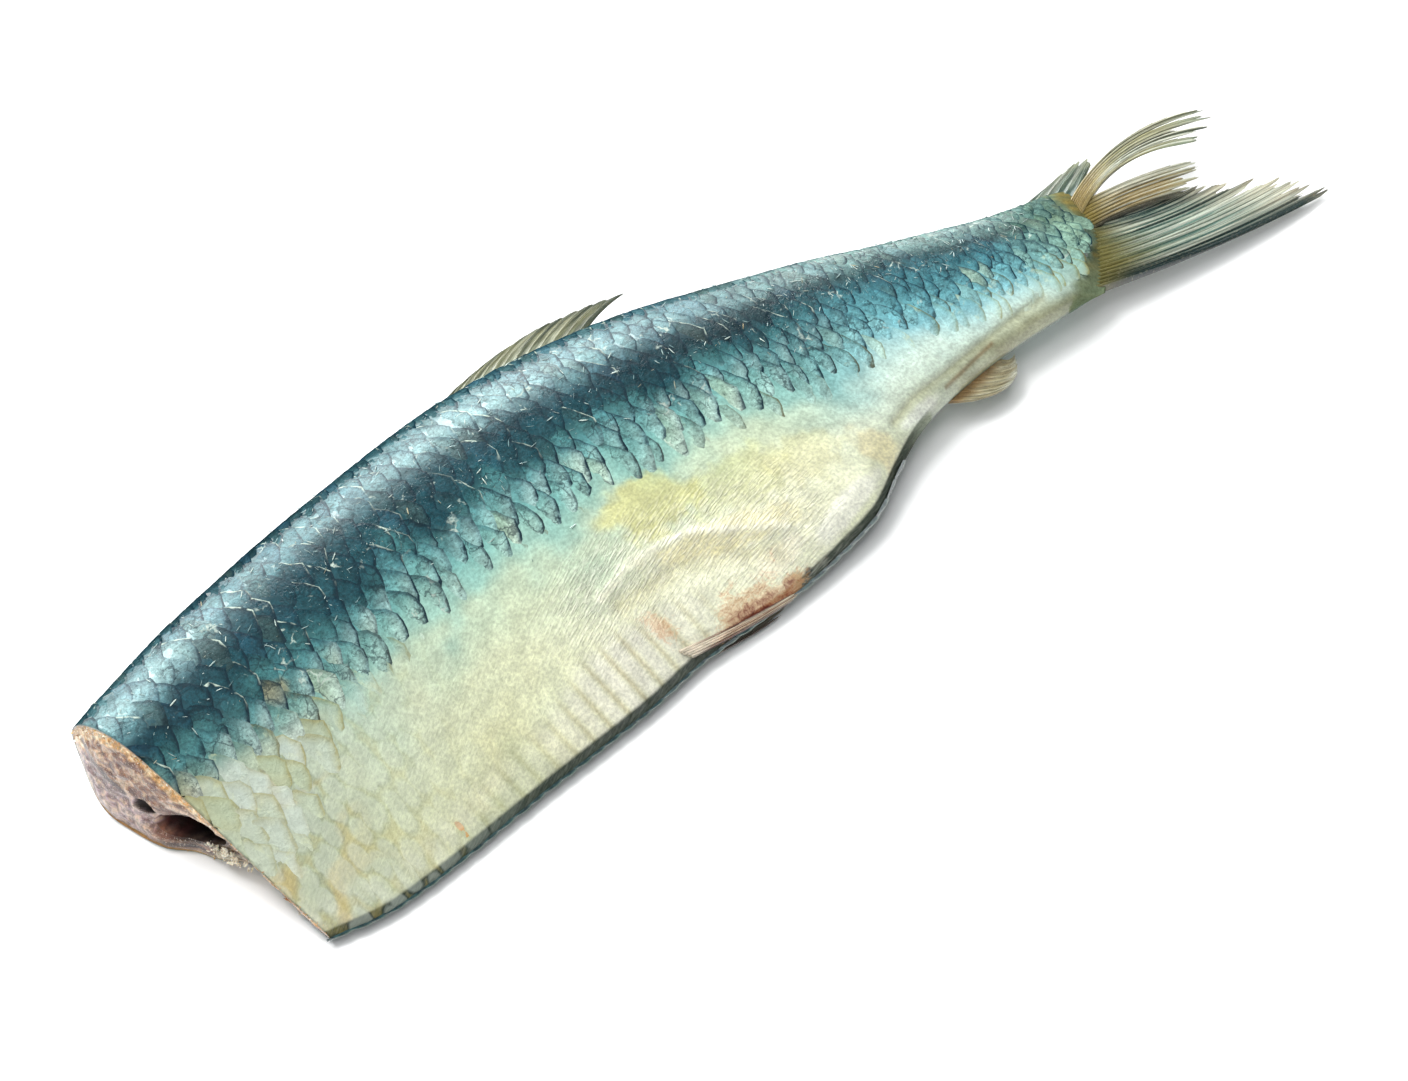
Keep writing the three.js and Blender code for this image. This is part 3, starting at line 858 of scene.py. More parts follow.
# %% [markdown]
# ## Skin
# The skin is one closed sleeve. It could be a subdivided block pulled into shape, but a grid of
# stations and shares keeps every row where its number says, so relief can be added by rule: soft
# swells of muscle, the grooves between the ribs, the belly fold and the small bulge at the vent.
# At the cut it turns inwards as a thin wall around the flesh, and at the tail it closes.

# %% Shape of the skin
STATIONS = 392
UPPER_STEPS = 138
LOWER_STEPS = 62
SKIN_LENGTH = 200
WALL = 0.9
RIM_WALL = 0.55
WALL_DEPTH = 50
TAIL_REACH = 0.5
KEEL_SHARE = 0.975
LOWER_KEEL_SHARE = 0.86
KEEL_END = 38


def ring_places():
    """Shares and sides of one ring: down the upper flank, and back up the lower one."""
    upper = (1 - np.cos(np.pi * np.arange(UPPER_STEPS + 1) / UPPER_STEPS)) / 2
    lower = (1 + np.cos(np.pi * np.arange(1, LOWER_STEPS) / LOWER_STEPS)) / 2
    share = np.concatenate([upper, lower])
    side = np.concatenate([np.ones(len(upper)), -np.ones(len(lower))])
    return share, side


RING_SHARE, RING_SIDE = ring_places()
RING = len(RING_SHARE)


def relief(x, share, side):
    """How far the skin stands proud of the plain loft, in millimetres."""
    girth = girth_at(x, share)
    y = y_at(x, share)
    upper = np.asarray(side) > 0
    ends = smooth(0, 5, x - cut_x(share, side)) * (1 - smooth(70, 84, x))
    rims = smooth(0, 0.05, share) * (1 - smooth(0.97, 1, share))
    swell = (clouds(x, girth, 17, 2) - 0.5) * 0.5 + (clouds(x, girth, 6, 4) - 0.5) * 0.2
    height = swell * ends * rims * upper
    groove = np.cos(rib_phase(x, share) * 2 * np.pi) * 0.5 + 0.5
    height = height - 0.22 * rib_area(x, share) * groove**3 * upper
    height = height + 0.6 * near_line(x, y, FOLD_CREST, 0.9) * upper
    height = height - 0.6 * near_line(x, y, FOLD_VALLEY, 1.6) * upper
    height = height + 0.5 * near_line(x, y, [(9, -19.6), (16, -18.4), (23, -15.8)], 1.6) * upper
    height = height - 0.5 * near_line(x, y, EDGE_GROOVE, 0.8) * upper
    return height + 0.06 * (clouds(x, girth, 1.3, 6) - 0.5) * ends * upper


def outward(points):
    """The direction in which each point of a wrapped grid faces."""
    around = np.roll(points, -1, 1) - np.roll(points, 1, 1)
    normal = unit(np.cross(around, np.gradient(points, axis=0)))
    facing = ((points - points.mean(1, keepdims=True)) * normal).sum(-1).mean()
    return normal * (1 if facing > 0 else -1)


def body_grid():
    """Rows of skin points from the cut to the tail root, with their places."""
    u = np.linspace(0, 1, STATIONS)[:, None]
    start = cut_x(RING_SHARE, RING_SIDE)[None]
    end = root_x(RING_SHARE)[None] + TAIL_REACH
    x = start + (end - start) * u
    share, side = RING_SHARE[None] + 0 * x, RING_SIDE[None] + 0 * x
    points = skin_point(x, share, side)
    middle = middle_at(x, share) - 0.3
    sink = smooth(-9, 0.5, x - end) ** 1.6
    points[..., 2] = points[..., 2] * (1 - sink) + (middle - 0.6 * sink) * sink
    return x, share, side, points


def make_skin():
    x, share, side, points = body_grid()
    outer = points + outward(points) * relief(x, share, side)[..., None]
    outer[..., 2] = np.maximum(outer[..., 2], 0)
    inner = []
    for depth in (WALL_DEPTH, 38, 26, 14, 6, 2, 0.25):
        row = min(STATIONS - 1, int(round(depth / SKIN_LENGTH * STATIONS)))
        inner.append(step_in(points[row], WALL if depth > 1 else RIM_WALL, 0.5, (0.15, 1, 1)))
    obj = sleeve("skin", np.concatenate([np.array(inner), outer]))
    inside = len(inner)
    grid = [np.concatenate([np.repeat(g[:1], inside, 0), g]) for g in (x, share, side)]
    x, share, side = (np.concatenate([g.ravel(), g[0, :1], g[-1, :1]]) for g in grid)
    paint = paint_skin(x, share, side)
    paint[: inside * RING] = tone(196, 148, 92)
    store(obj, "paint", paint)
    store(obj, "flank", np.stack([x, girth_at(x, share), side * 3], -1))
    value = tone_at(x, share)
    store(obj, "net", smooth(1.7, 2.1, value) * smooth(-48, -86, x) * (side > 0))
    belly = smooth(1.9, 2.3, value) * (1 - smooth(40, 60, x))
    y = y_at(x, share)
    store(obj, "crease", belly * (0.1 + 1.0 * near_line(x, y, FOLD_CREST, 7)))
    stains = [stain(x, y, mark, 60 + seed) for seed, mark in enumerate(BLOOD.values())]
    store(obj, "blood", np.max(stains, 0) * (side > 0))
    dull = np.where(side < 0, share > LOWER_KEEL_SHARE, share > KEEL_SHARE) & (x < KEEL_END)
    dull = dull | (x > scale_end(share) - 1)
    chosen = [dull[face.vertices[0]] for face in obj.data.polygons]
    share_materials(obj, skin_material, keel_material, chosen)
    return obj


skin = make_skin()
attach(skin, "root")
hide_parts("fish")

# %% [markdown]
# ## Material of the scales
# A herring scale is a thin clear disc. What is seen of it is the skin's colour through it, a
# dark line where its hind edge sits in a pocket of pigment, a soft darkening towards that edge
# that is partly painted shade, and now and then a painted highlight: a pale line where a torn
# edge catches the light. So each scale carries its own tint, and its mesh carries how near to
# the edge a point is. Torn slime draws thin dark and pale lines over them, which a bent Voronoi
# pattern gives. Along the crest and at the tail the scales are dull, so a drier kind of the same
# material covers them.

# %% Material of the scales


def make_scale_material(name, coat, specular, roughness):
    material = new_material(
        name, 0.44, coat=coat, coat_roughness=0.24, metallic=0.04, specular=specular)
    edge, rear, lower, warm, line, glint = (
        carried(material, key) for key in ("edge", "rear", "lower", "warm", "line", "glint"))
    place = places(material)
    mottle = between(noise(place, 420, 4, 0.66, 0.8), 0.32, 0.68, 0.7, 1.24)
    fine = noise(place, 2200, 3, 0.7)
    grain = product(mottle, between(fine, 0.32, 0.68, 0.76, 1.24))
    base = mixed(
        between(warm, 0.3, 1.0, 1.0, 0.3), carried(material, "paint", "Color"), grain, "MULTIPLY")
    cream = between(noise(place, 260, 4, 0.7, 0.5), 0.54, 0.7, 0, 0.42)
    base = mixed(product(cream, between(warm, 0, 0.35)), base, tone(206, 212, 172))
    cold = between(warm, 0.5, 0.1)
    specks = between(noise(place, 1300, 3, 0.75), 0.57, 0.66, 0, 0.55)
    base = mixed(product(specks, cold), base, tone(18, 42, 48))
    swirl = add_node(
        material.node_tree, "ShaderNodeVectorMath", {"operation": "SCALE"},
        _0=noise(place, 520, 3, output="Color"), Scale=0.0032)
    cells = add_node(
        material.node_tree, "ShaderNodeTexVoronoi", {"feature": "DISTANCE_TO_EDGE"},
        Vector=shifted(place, swirl.outputs[0]), Scale=340.0)
    apart = cells.outputs["Distance"]
    here = product(cold, between(noise(place, 140, 3), 0.42, 0.6))
    base = mixed(product(between(apart, 0.07, 0.015, 0, 0.62), here), base, tone(14, 38, 46))
    torn = between(noise(place, 210, 3, 0.6), 0.6, 0.68)
    pale_line = product(between(apart, 0.075, 0.015, 0, 0.6), cold, torn)
    base = mixed(pale_line, base, tone(206, 220, 206))
    reach = calc("ADD", edge, centred(noise(place, 700, 3), 0.3))
    hind = between(rear, -0.3, 0.25)
    # Soft darkening towards each scale's hind edge: partly painted shade, ochre tint on warm scales.
    shade = mixed(warm, (0.42, 0.5, 0.56), (0.6, 0.5, 0.26))
    soft = product(between(reach, 0.45, 1.0), hind, line)
    base = mixed(soft, base, mixed(1.0, base, shade, "MULTIPLY"))
    heavy = between(lower, -0.5, 0.3, 0.45, 1.0)
    broken = between(noise(place, 300, 2), 0.34, 0.5, 0.1, 1.0)
    pocket = product(between(reach, 0.82, 0.95), hind, heavy, broken, line)
    base = mixed(pocket, base, mixed(warm, tone(16, 40, 50), tone(152, 142, 86)))
    # Painted highlight: a pale line on part of some scales' edges, where a torn edge catches light.
    lit = product(
        between(reach, 0.9, 0.99), glint, between(lower, 0.5, -0.1),
        between(noise(place, 420, 2), 0.4, 0.55))
    base = mixed(lit, base, tone(196, 212, 196))
    wet = between(noise(place, 240, 4, 0.65), 0.35, 0.65, *roughness)
    return finish_material(material, base, calc("ADD", mottle, fine), 0.00016, roughness=wet)


scale_material = make_scale_material("herring scale", 0.24, 0.32, (0.26, 0.56))
crest_material = make_scale_material("dull scale of the crest", 0.0, 0.0, (0.55, 0.75))
print("materials:", scale_material.name, "and", crest_material.name)

# %% [markdown]
# ## One scale
# A single scale is a thin leaf of 14 sides with a blunt point at the rear. It is repeated more
# than a thousand times, so it has only a few dozen faces. It starts as a plain dome, and each
# copy is bent to the body later.

# %% One scale
SCALE_SIDES = 14


def make_one_scale(side):
    """A leaf 1 long and 1 wide, whose dome is 1 high, to be scaled for each place."""
    angle = 2 * np.pi * np.arange(SCALE_SIDES) / SCALE_SIDES
    power = np.where(np.cos(angle) > 0.05, 1.28, 2.0)
    reach = (np.abs(np.cos(angle)) ** power + np.abs(np.sin(angle)) ** power) ** (-1 / power)
    rim = np.stack([np.cos(angle) * reach, np.sin(angle) * reach], -1) * 0.5
    rim[:, 0] *= np.where(rim[:, 0] > 0, 1.12, 1.0)
    points = [(0, 0, 1.0)]
    for size, drop in ((0.55, 0.0), (0.86, 0.0), (1.0, 0.18)):
        points += [(x, y, 1 - 4 * y**2 - drop) for x, y in rim * size]
    points.append((0, 0, 0.2))
    outer, last = 1 + 2 * SCALE_SIDES, len(points) - 1
    faces = []
    for j in range(SCALE_SIDES):
        n = (j + 1) % SCALE_SIDES
        faces.append((0, 1 + j, 1 + n))
        for a in (1, 1 + SCALE_SIDES):
            b = a + SCALE_SIDES
            faces.append((a + j, b + j, b + n, a + n))
        faces.append((outer + n, outer + j, last))
    obj = make_mesh("one_scale", np.array(points) / MM + MIDDLE, faces)
    obj.data.shade_smooth()
    store(obj, "edge", [0] + [0.55] * SCALE_SIDES + [0.86] * SCALE_SIDES + [1.0] * (SCALE_SIDES + 1))
    store(obj, "rear", [p[0] * 2 for p in points])
    store(obj, "lower", [-side * p[1] * 2 for p in points])
    store(obj, "depth", [0] * outer + [0.03] * SCALE_SIDES + [0.16])
    for line in obj.data.edges:
        line.use_edge_sharp = min(line.vertices) >= outer and max(line.vertices) < last
    return obj


one_scale = {side: make_one_scale(side) for side in (1, -1)}
print("faces of one scale:", len(one_scale[1].data.polygons))

# %% [markdown]
# ## Where the scales sit
# Scales grow in rows like roof tiles: each row is shifted by half a scale against the next, and
# each scale's hind edge covers the front of the one behind it. The places are worked out row by
# row from the girth. Towards the belly the scales sink into the skin, and towards the tail they
# get smaller.

# %% Where the scales sit
row_step = through([(-130, 4.2), (-20, 4.0), (30, 3.4), (60, 2.7), (92, 1.8)])
column_step = through([(-130, 2.0), (-20, 1.75), (30, 1.5), (60, 1.25), (92, 0.95)])
lowest_scale = through([
    (-116, 0.92), (-98, 0.88), (-88, 0.78), (-78, 0.66), (-64, 0.58), (-40, 0.56), (-10, 0.58),
    (15, 0.64), (40, 0.74), (60, 0.86), (90, 0.95)])
LATTICE = {"start": -136.0, "end": 92, "girth": 72, "skew": 0.28}
RESTING = 0.7
TILT = math.radians(1.2)


def scale_places(side):
    """Place and kind of each scale on a flank: x, share, fade, and four random draws."""
    rng = np.random.default_rng(5 if side > 0 else 6)
    nodes = []
    column, at = 0, LATTICE["start"]
    while at < LATTICE["end"]:
        step = float(row_step(at))
        rows = range(-1 - column % 2, int(LATTICE["girth"] / step), 2)
        nodes += [(at, (j + 0.5) * step) for j in rows]
        at += float(column_step(at))
        column += 1
    at, girth = np.array(nodes).T
    draw = rng.random((len(at), 4))
    girth = np.abs(girth + rng.normal(0, 0.4, len(at)))
    x = at + LATTICE["skew"] * girth + rng.normal(0, 0.34, len(at))
    x = x + 2.0 * (clouds(x, girth, 11, 71) - 0.5)
    girth = girth + 1.7 * (clouds(x, girth, 9, 72) - 0.5)
    share = share_at(x, girth)
    low = lowest_scale(x) + 0.05 * (clouds(x, girth, 9, 74) - 0.5)
    fade = smooth(low, low - 0.13, share)
    kept = (x > cut_x(share, side) - 1.5) & (share <= low)
    kept &= x < scale_end(share) - 0.6 - 1.6 * draw[:, 1]
    kept &= draw[:, 0] <= 0.25 + 0.75 * fade
    if side < 0:
        kept &= skin_point(x, share, side)[:, 2] >= RESTING
    return np.column_stack([x, share, fade, draw])[kept]


def scale_frames(x, share, side, lean):
    """Surface points and a turned frame at each: tailward, down the flank, and outward."""
    d = 0.4
    tail = skin_point(x + d, share, side) - skin_point(x - d, share, side)
    low, high = np.clip(share + 0.006, 0, 1), np.clip(share - 0.006, 0, 1)
    down = skin_point(x, low, side) - skin_point(x, high, side)
    out = unit(np.cross(tail, down) * -side[:, None])
    tail = unit(tail - out * (tail * out).sum(1, keepdims=True))
    across = np.cross(out, tail)
    c, s = np.cos(lean)[:, None], np.sin(lean)[:, None]
    return skin_point(x, share, side), tail * c + across * s, across * c - tail * s, out


def set_frames(obj, tail, across, out, span):
    """Hangs on each point how its copy is turned, and how large it is in millimetres."""
    turns = [Matrix(axes).transposed().to_euler() for axes in zip(tail, across, out)]
    store(obj, "turn", [list(turn) for turn in turns])
    store(obj, "span", np.stack(np.broadcast_arrays(*span), -1) * MM)


def make_scale_points(side):
    """A mesh of bare points that carry all that the tree needs to grow the scales."""
    found = scale_places(side)
    x, share, fade = found[:, :3].T
    draw = found[:, 3:]
    sides = np.full(len(x), float(side))
    value = tone_at(x, share)
    lean = (0.26 * (draw[:, 1] - 0.5) - 0.04 * smooth(0.75, 1.35, value)) * side
    point, tail, across, out = scale_frames(x, share, sides, lean)
    obj = make_mesh(f"scale_points_{side}", point + out * relief(x, share, sides)[:, None], [])
    c, s = math.cos(TILT), math.sin(TILT)
    size = 1 + 0.3 * (draw[:, 2] - 0.5)
    length = 2.6 * column_step(x) * size
    width = 2.25 * row_step(x) * size
    bend = (0.4 * (1 - smooth(0.05, 0.22, share)) + 0.1) * row_step(x) / 3.1
    set_frames(obj, tail * c + out * s, across, out * c - tail * s, (length, width, bend))
    line = (1 - 0.5 * smooth(1.6, 2.25, value)) * (0.15 + 0.85 * fade)
    line = line * (1 - 0.2 * smooth(0.62, 0.4, value))
    line = line * (1 - 0.3 * smooth(-84, -95, x) * smooth(1.2, 1.6, value))
    seen = clouds(x, girth_at(x, share), 5, 73) * 0.6 + draw[:, 0] * 0.4
    store(obj, "line", line * (0.3 + 0.7 * smooth(0.22, 0.5, seen)))
    # How strongly each scale's edge gets the painted highlight.
    store(obj, "glint", smooth(0.62, 0.9, draw[:, 2]) * 0.85 * smooth(1.2, 0.9, value))
    store(obj, "warm", smooth(1.5, 2.1, value))
    store(obj, "home", np.stack([x, share, draw[:, 3]], -1))
    store(obj, "plan", np.stack([length, width, lean * side], -1))
    curl = 0.14 * smooth(0.9, 1.0, draw[:, 2]) * fade
    store(obj, "lift", np.stack([0.05 - 0.2 * (1 - fade), 0.11 + curl, 0 * x], -1))
    return obj


# %% [markdown]
# ## Laying the scales on the body
# A grown scale is a stiff little dome. Here every one of its points is moved to the place on the
# curved skin that it covers, a hair's breadth above it. Then it takes the skin's colour there,
# with a cast of its own, and a dull material where the real scales are dry.

# %% Laying the scales on the body
LEAF_SKEW = 0.3
CREST_SHARE = 0.075
DULL_TAIL = 75


def off_skin(x, girth, side, height):
    """Points that stand off the skin, at a girth that may run on over the crest of the back."""

    def foot(px, pg):
        share = share_at(px, np.abs(pg))
        return skin_point(px, share, np.where(pg < 0, -side, side))

    d = 0.3
    tail = foot(x + d, girth) - foot(x - d, girth)
    out = unit(np.cross(foot(x, girth + d) - foot(x, girth - d), tail) * side)
    share = share_at(x, np.abs(girth))
    rise = relief(x, share, np.where(girth < 0, -side, side)) + height
    return foot(x, girth) + out * rise[:, None], share


def lay_on_skin(obj, side):
    """Bends each scale to the body, so that only its hind edge stands off, over the next one."""
    home, plan, lift = (read_back(obj, name) for name in ("home", "plan", "lift"))
    rear, lower, depth = (read_back(obj, name) for name in ("rear", "lower", "depth"))
    down = plan[:, 1] / 2 * lower
    along = plan[:, 0] / 2 * rear + LEAF_SKEW * down
    c, s = np.cos(plan[:, 2]), np.sin(plan[:, 2])
    x = home[:, 0] + along * c - down * s
    girth = girth_at(home[:, 0], home[:, 1]) + down * c + along * s
    own = home[:, 2] * 80
    fine = column_step(x) / 1.75
    x = x + 0.55 * fine * (clouds(x + own, girth, 1.1, 91) - 0.5)
    girth = girth + 0.8 * fine * (clouds(x + own, girth, 1.4, 92) - 0.5)
    x = np.maximum(x, cut_x(share_at(x, np.abs(girth)), np.where(girth < 0, -side, side)))
    height = lift[:, 0] + lift[:, 1] * rear - depth
    point, share = off_skin(x, girth, side, height)
    point[:, 2] = np.maximum(point[:, 2], 0)
    obj.data.vertices.foreach_set("co", to_metres(point).ravel())
    obj.data.update()
    return x, share


def paint_by_place(obj, side, x, share):
    """Colours each point of the grown scales: mostly as its place asks, partly as its scale."""
    home = read_back(obj, "home")
    x, share = x * 0.75 + home[:, 0] * 0.25, share * 0.75 + home[:, 1] * 0.25
    own = home[:, 2]
    paint = paint_skin(x, share, np.full(len(x), float(side))) * (0.92 + 0.18 * own)[:, None]
    value = tone_at(x, share)
    dark = 1 - smooth(0.8, 1.2, value)
    olive = smooth(1.1, 1.4, value) * smooth(2.2, 1.8, value) * smooth(0.8, 0.98, own)
    tip = smooth(-0.2, 1.0, 0.7 * read_back(obj, "lower") + 0.45 * read_back(obj, "rear"))
    leaf = smooth(1.0, 1.25, value) * smooth(2.6, 2.2, value) * smooth(40, 16, x)
    bare = smooth(-74, -88, x) * smooth(1.6, 2.0, value)
    store(obj, "paint", coats(paint, [
        ((36, 70, 98), 0.22 * dark * smooth(0.7, 0.95, own)),
        ((84, 92, 74), 0.2 * dark * smooth(0.15, 0.02, own)),
        ((170, 178, 138), 0.45 * olive),
        (BLACK, 0.16 * leaf * (1 - tip)),
        ((204, 220, 212), 0.42 * leaf * tip * (0.5 + own)),
        (blend(tone(184, 194, 160), tone(204, 214, 204), smooth(0.1, 0.7, own)), 0.62 * bare),
    ]))


def dull_the_crest(obj, share):
    """Gives the scales along the crest of the back and at the tail the drier material."""
    home = read_back(obj, "home")
    dull = (share < CREST_SHARE) | (home[:, 0] + 10 * home[:, 2] > DULL_TAIL)
    chosen = [dull[face.vertices[0]] for face in obj.data.polygons]
    share_materials(obj, scale_material, crest_material, chosen)


# %% [markdown]
# ## Growing the scales
# One tree sets a scale on each point, turned and sized as the point says, and tips each a little
# at random. Instances are light to work with, and are made real at the end. Then each scale is
# bent to the body. A dome of its own would make it look like a roof tile, while a real scale
# lies flat on its neighbours and shows as a fine line.

# %% Growing the scales


def make_scale_tree():
    group, source, output = new_tree(
        "scales in rows", {"Scale": "Object", "Tip": "Float", "Seed": "Int", "Material": "Material"})
    given = source.outputs
    scale = add_node(group, "GeometryNodeObjectInfo", Object=given["Scale"])
    back_tip = calc("MULTIPLY", given["Tip"], -1.0)
    low = add_node(group, "ShaderNodeCombineXYZ", X=back_tip, Y=back_tip)
    high = add_node(group, "ShaderNodeCombineXYZ", X=given["Tip"], Y=given["Tip"])
    draw = add_node(
        group, "FunctionNodeRandomValue", {"data_type": "FLOAT_VECTOR"},
        Min=low.outputs[0], Max=high.outputs[0], Seed=given["Seed"])
    placed = add_node(
        group, "GeometryNodeInstanceOnPoints",
        Points=given["Geometry"], Instance=scale.outputs["Geometry"],
        Rotation=named(group, "turn", "FLOAT_VECTOR"), Scale=named(group, "span", "FLOAT_VECTOR"))
    tipped = add_node(
        group, "GeometryNodeRotateInstances",
        Instances=placed.outputs["Instances"], Rotation=draw.outputs["Value"])
    finish_tree(group, tipped.outputs["Instances"], given["Material"], output)
    return group


scale_tree = make_scale_tree()


def set_copies(points, piece, name, tip, seed, material):
    """Sets a copy of the piece on each point, tipped at random, and drops the piece."""
    values = {"Scale": piece, "Tip": tip, "Seed": seed, "Material": material}
    obj = grow(points, scale_tree, values, name)
    bpy.data.objects.remove(piece)
    return obj


for side, name in ((1, "scales_upper"), (-1, "scales_lower")):
    points = make_scale_points(side)
    print(name, "places:", len(points.data.vertices))
    scales = set_copies(points, one_scale[side], name, 0.018, 11 + side, scale_material)
    x, share = lay_on_skin(scales, side)
    paint_by_place(scales, side, x, share)
    dull_the_crest(scales, share)
    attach(scales, "root")

# %% [markdown]
# ## Flakes
# A fish that has been handled sheds bits of scale and slime. They lie on the back as pale shards
# that sparkle, most of them where the bright strip meets the dark band. One shard of 12 faces is
# set many times by the same kind of tree as the scales.

# %% Flakes
FLAKES = 1500


def make_shard():
    """A thin, bent, pointed bit, 1 long and 1 wide."""
    rim = [(-0.5, -0.1), (-0.15, -0.42), (0.3, -0.3), (0.5, 0.05), (0.2, 0.38), (-0.25, 0.3)]
    points = [(x, y, 0.3 * x * x) for x, y in rim] + [(0, 0, 0.12), (0, 0, -0.12)]
    faces = []
    for j in range(6):
        faces += [(6, j, (j + 1) % 6), (7, (j + 1) % 6, j)]
    return make_bit("shard", points, faces)


def make_flake_points():
    rng = np.random.default_rng(21)
    x = rng.uniform(-108, 74, FLAKES * 3)
    share = np.clip(rng.normal(0.2, 0.11, FLAKES * 3), 0.02, 0.6)
    crowd = clouds(x, girth_at(x, share), 7, 81) * 0.35 + rng.random(FLAKES * 3) * 0.65
    kept = np.argsort(-crowd)[:FLAKES]
    x, share = x[kept], share[kept]
    inside = x > cut_x(share, 1) + 1
    x, share = x[inside], share[inside]
    sides = np.ones(len(x))
    point, tail, across, out = scale_frames(x, share, sides, rng.uniform(0, 6.28, len(x)))
    obj = make_mesh("flake_points", point + out * (relief(x, share, sides) + 0.26)[:, None], [])
    size = 0.16 + 1.5 * rng.random(len(x)) ** 4
    wide = 0.05 + size * rng.uniform(0.03, 0.16, len(x))
    set_frames(obj, tail, across, out, (size, wide, size * 0.5))
    tan = rng.random(len(x)) > 0.88
    store(obj, "paint", coats(tone(214, 228, 218), [
        ((196, 178, 138), tan), ((96, 136, 142), 0.95 * rng.random(len(x)) ** 0.7)]))
    return obj


def make_flake_material():
    material = new_material("loose flake of scale", 0.22, coat=0.8, coat_roughness=0.08)
    cloudy = noise(places(material), 1800, 3, 0.6)
    grain = between(cloudy, 0.3, 0.7, 0.75, 1.1)
    base = mixed(1.0, carried(material, "paint", "Color"), grain, "MULTIPLY")
    return finish_material(material, base, cloudy, 0.00006, 0.6)


flakes = set_copies(
    make_flake_points(), make_shard(), "loose_flakes", 0.3, 5, make_flake_material())
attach(flakes, "root")

# %% [markdown]
# ## Keel scutes
# A herring's belly ends in a row of keeled plates, the scutes, which feel like a saw. Each one
# is a small wedge that points to the tail and laps over the next one. Their dark teal is painted
# shade on the keel's side, and the pale line along each ridge is a painted highlight.

# %% Keel scutes
SCUTE_PITCH = 3.2
FIRST_SCUTE = -93
LAST_SCUTE = 29


def make_scute():
    """A wedge 1 long, 1 wide and 1 high, with a ridge that rises to the tail."""
    points = [(-0.6, -0.4, 0), (-0.6, 0.4, 0), (0.35, 0.5, 0), (0.35, -0.5, 0),
              (-0.5, 0, 0.3), (0.3, 0, 0.85), (0.62, 0, 0.5)]
    faces = [(0, 1, 2, 3), (0, 4, 1), (0, 3, 5, 4), (1, 4, 5, 2), (3, 6, 5), (2, 5, 6), (2, 6, 3)]
    obj = make_bit("scute", points, faces)
    store(obj, "edge", [0, 0, 0, 0, 1, 1, 1])
    return obj


def make_scute_points():
    x = np.arange(FIRST_SCUTE, LAST_SCUTE, SCUTE_PITCH)
    share = np.full(len(x), 0.997)
    point = (skin_point(x, share, 1) + skin_point(x, share, -1)) / 2
    tail = unit((skin_point(x + 1, share, 1) - skin_point(x - 1, share, 1)) * [1, 1, 0])
    out = np.stack([tail[:, 1], -tail[:, 0], 0 * x], -1)
    obj = make_mesh("scute_points", point + out * 0.05, [])
    tall = np.maximum(keel_height(x) * 0.5, 0.9)
    set_frames(obj, tail, np.cross(out, tail), out, (SCUTE_PITCH * 1.15, tall, 0.5))
    return obj


def make_scute_material():
    material = new_material("keel scute", 0.3, coat=0.9, coat_roughness=0.1)
    spots = noise(places(material), 900, 3, 0.6)
    # Painted shade: dark teal scutes on the keel's side. Painted highlight: a pale line on each
    # ridge.
    dark = mixed(between(spots, 0.35, 0.65), tone(24, 48, 52), tone(56, 88, 88))
    ridge = product(between(carried(material, "edge"), 0.55, 1.0), 0.6)
    base = mixed(ridge, dark, tone(164, 176, 160))
    return finish_material(material, base, spots, 0.0001, 0.6)


scutes = set_copies(
    make_scute_points(), make_scute(), "keel_scutes", 0.05, 8, make_scute_material())
press_flat(scutes)
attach(scutes, "root")

# %% [markdown]
# ## Cut flesh
# The head was cut off with one slanting stroke. The cut shows the skin as a thin rim, a layer of
# fat, reddish muscle on both sides of a dark septum, and the mouth of the emptied belly cavity
# with its dark lining. Deep in the cavity and in the hollow of the backbone the paint turns near
# black: that is painted shade. First come the places on it, which both its shape and its paint
# ask for.

# %% Places on the cut
CAVITY = {"y": -8.7, "z": 7.7, "half_width": 6, "half_height": 3.4, "tilt": -0.42, "depth": 46}
BONE = {"radius": 1.6, "share": 0.34, "start": 1.4, "end": 78, "pitch": 3.3}
BONE_MOUTH = (-1.6, 8.9)
HOLLOW_RADIUS = 1.8
SEPTUM = [(11.2, 14.7), (8.4, 12.9), (5.2, 10.8), (2.0, 9.9)]
septum_height = through([(-14, 8.6), (-4, 9.2), (2, 9.9), (5.2, 10.8), (8.4, 12.9), (11.2, 14.7)])


def mouth_point(angle, size=1.0):
    """A place on the cavity's wall at an angle round it, as y and z."""
    along = CAVITY["half_width"] * size * np.cos(angle - CAVITY["tilt"])
    across = CAVITY["half_height"] * size * np.sin(angle - CAVITY["tilt"])
    c, s = math.cos(CAVITY["tilt"]), math.sin(CAVITY["tilt"])
    return CAVITY["y"] + along * c - across * s, CAVITY["z"] + along * s + across * c


def cut_surface(y, z):
    """The x of the cut's face at a place, with its share and its height between the flanks."""
    x = np.full(np.shape(y), -105.0)
    for _ in range(4):
        share = np.clip((back_line(x) - y) / (back_line(x) - keel_line(x)), 0, 1)
        middle = middle_at(x, share)
        full = np.maximum(fullness(x, share), 0.02)
        swell = np.where(z > middle, upper_swell(x), lower_swell(x)) * full
        level = np.clip((z - middle) / swell, -1, 1)
        x = cut_x(share, -1) * (1 - (level + 1) / 2) + cut_x(share, 1) * (level + 1) / 2
    return x, share, level


def from_bone(y, z):
    """How far a place of the cut's face is from the hollow left by the backbone's end."""
    return np.hypot(y - BONE_MOUTH[0], z - BONE_MOUTH[1])


print("hollow of the backbone at", BONE_MOUTH, "with radius", HOLLOW_RADIUS, "mm")

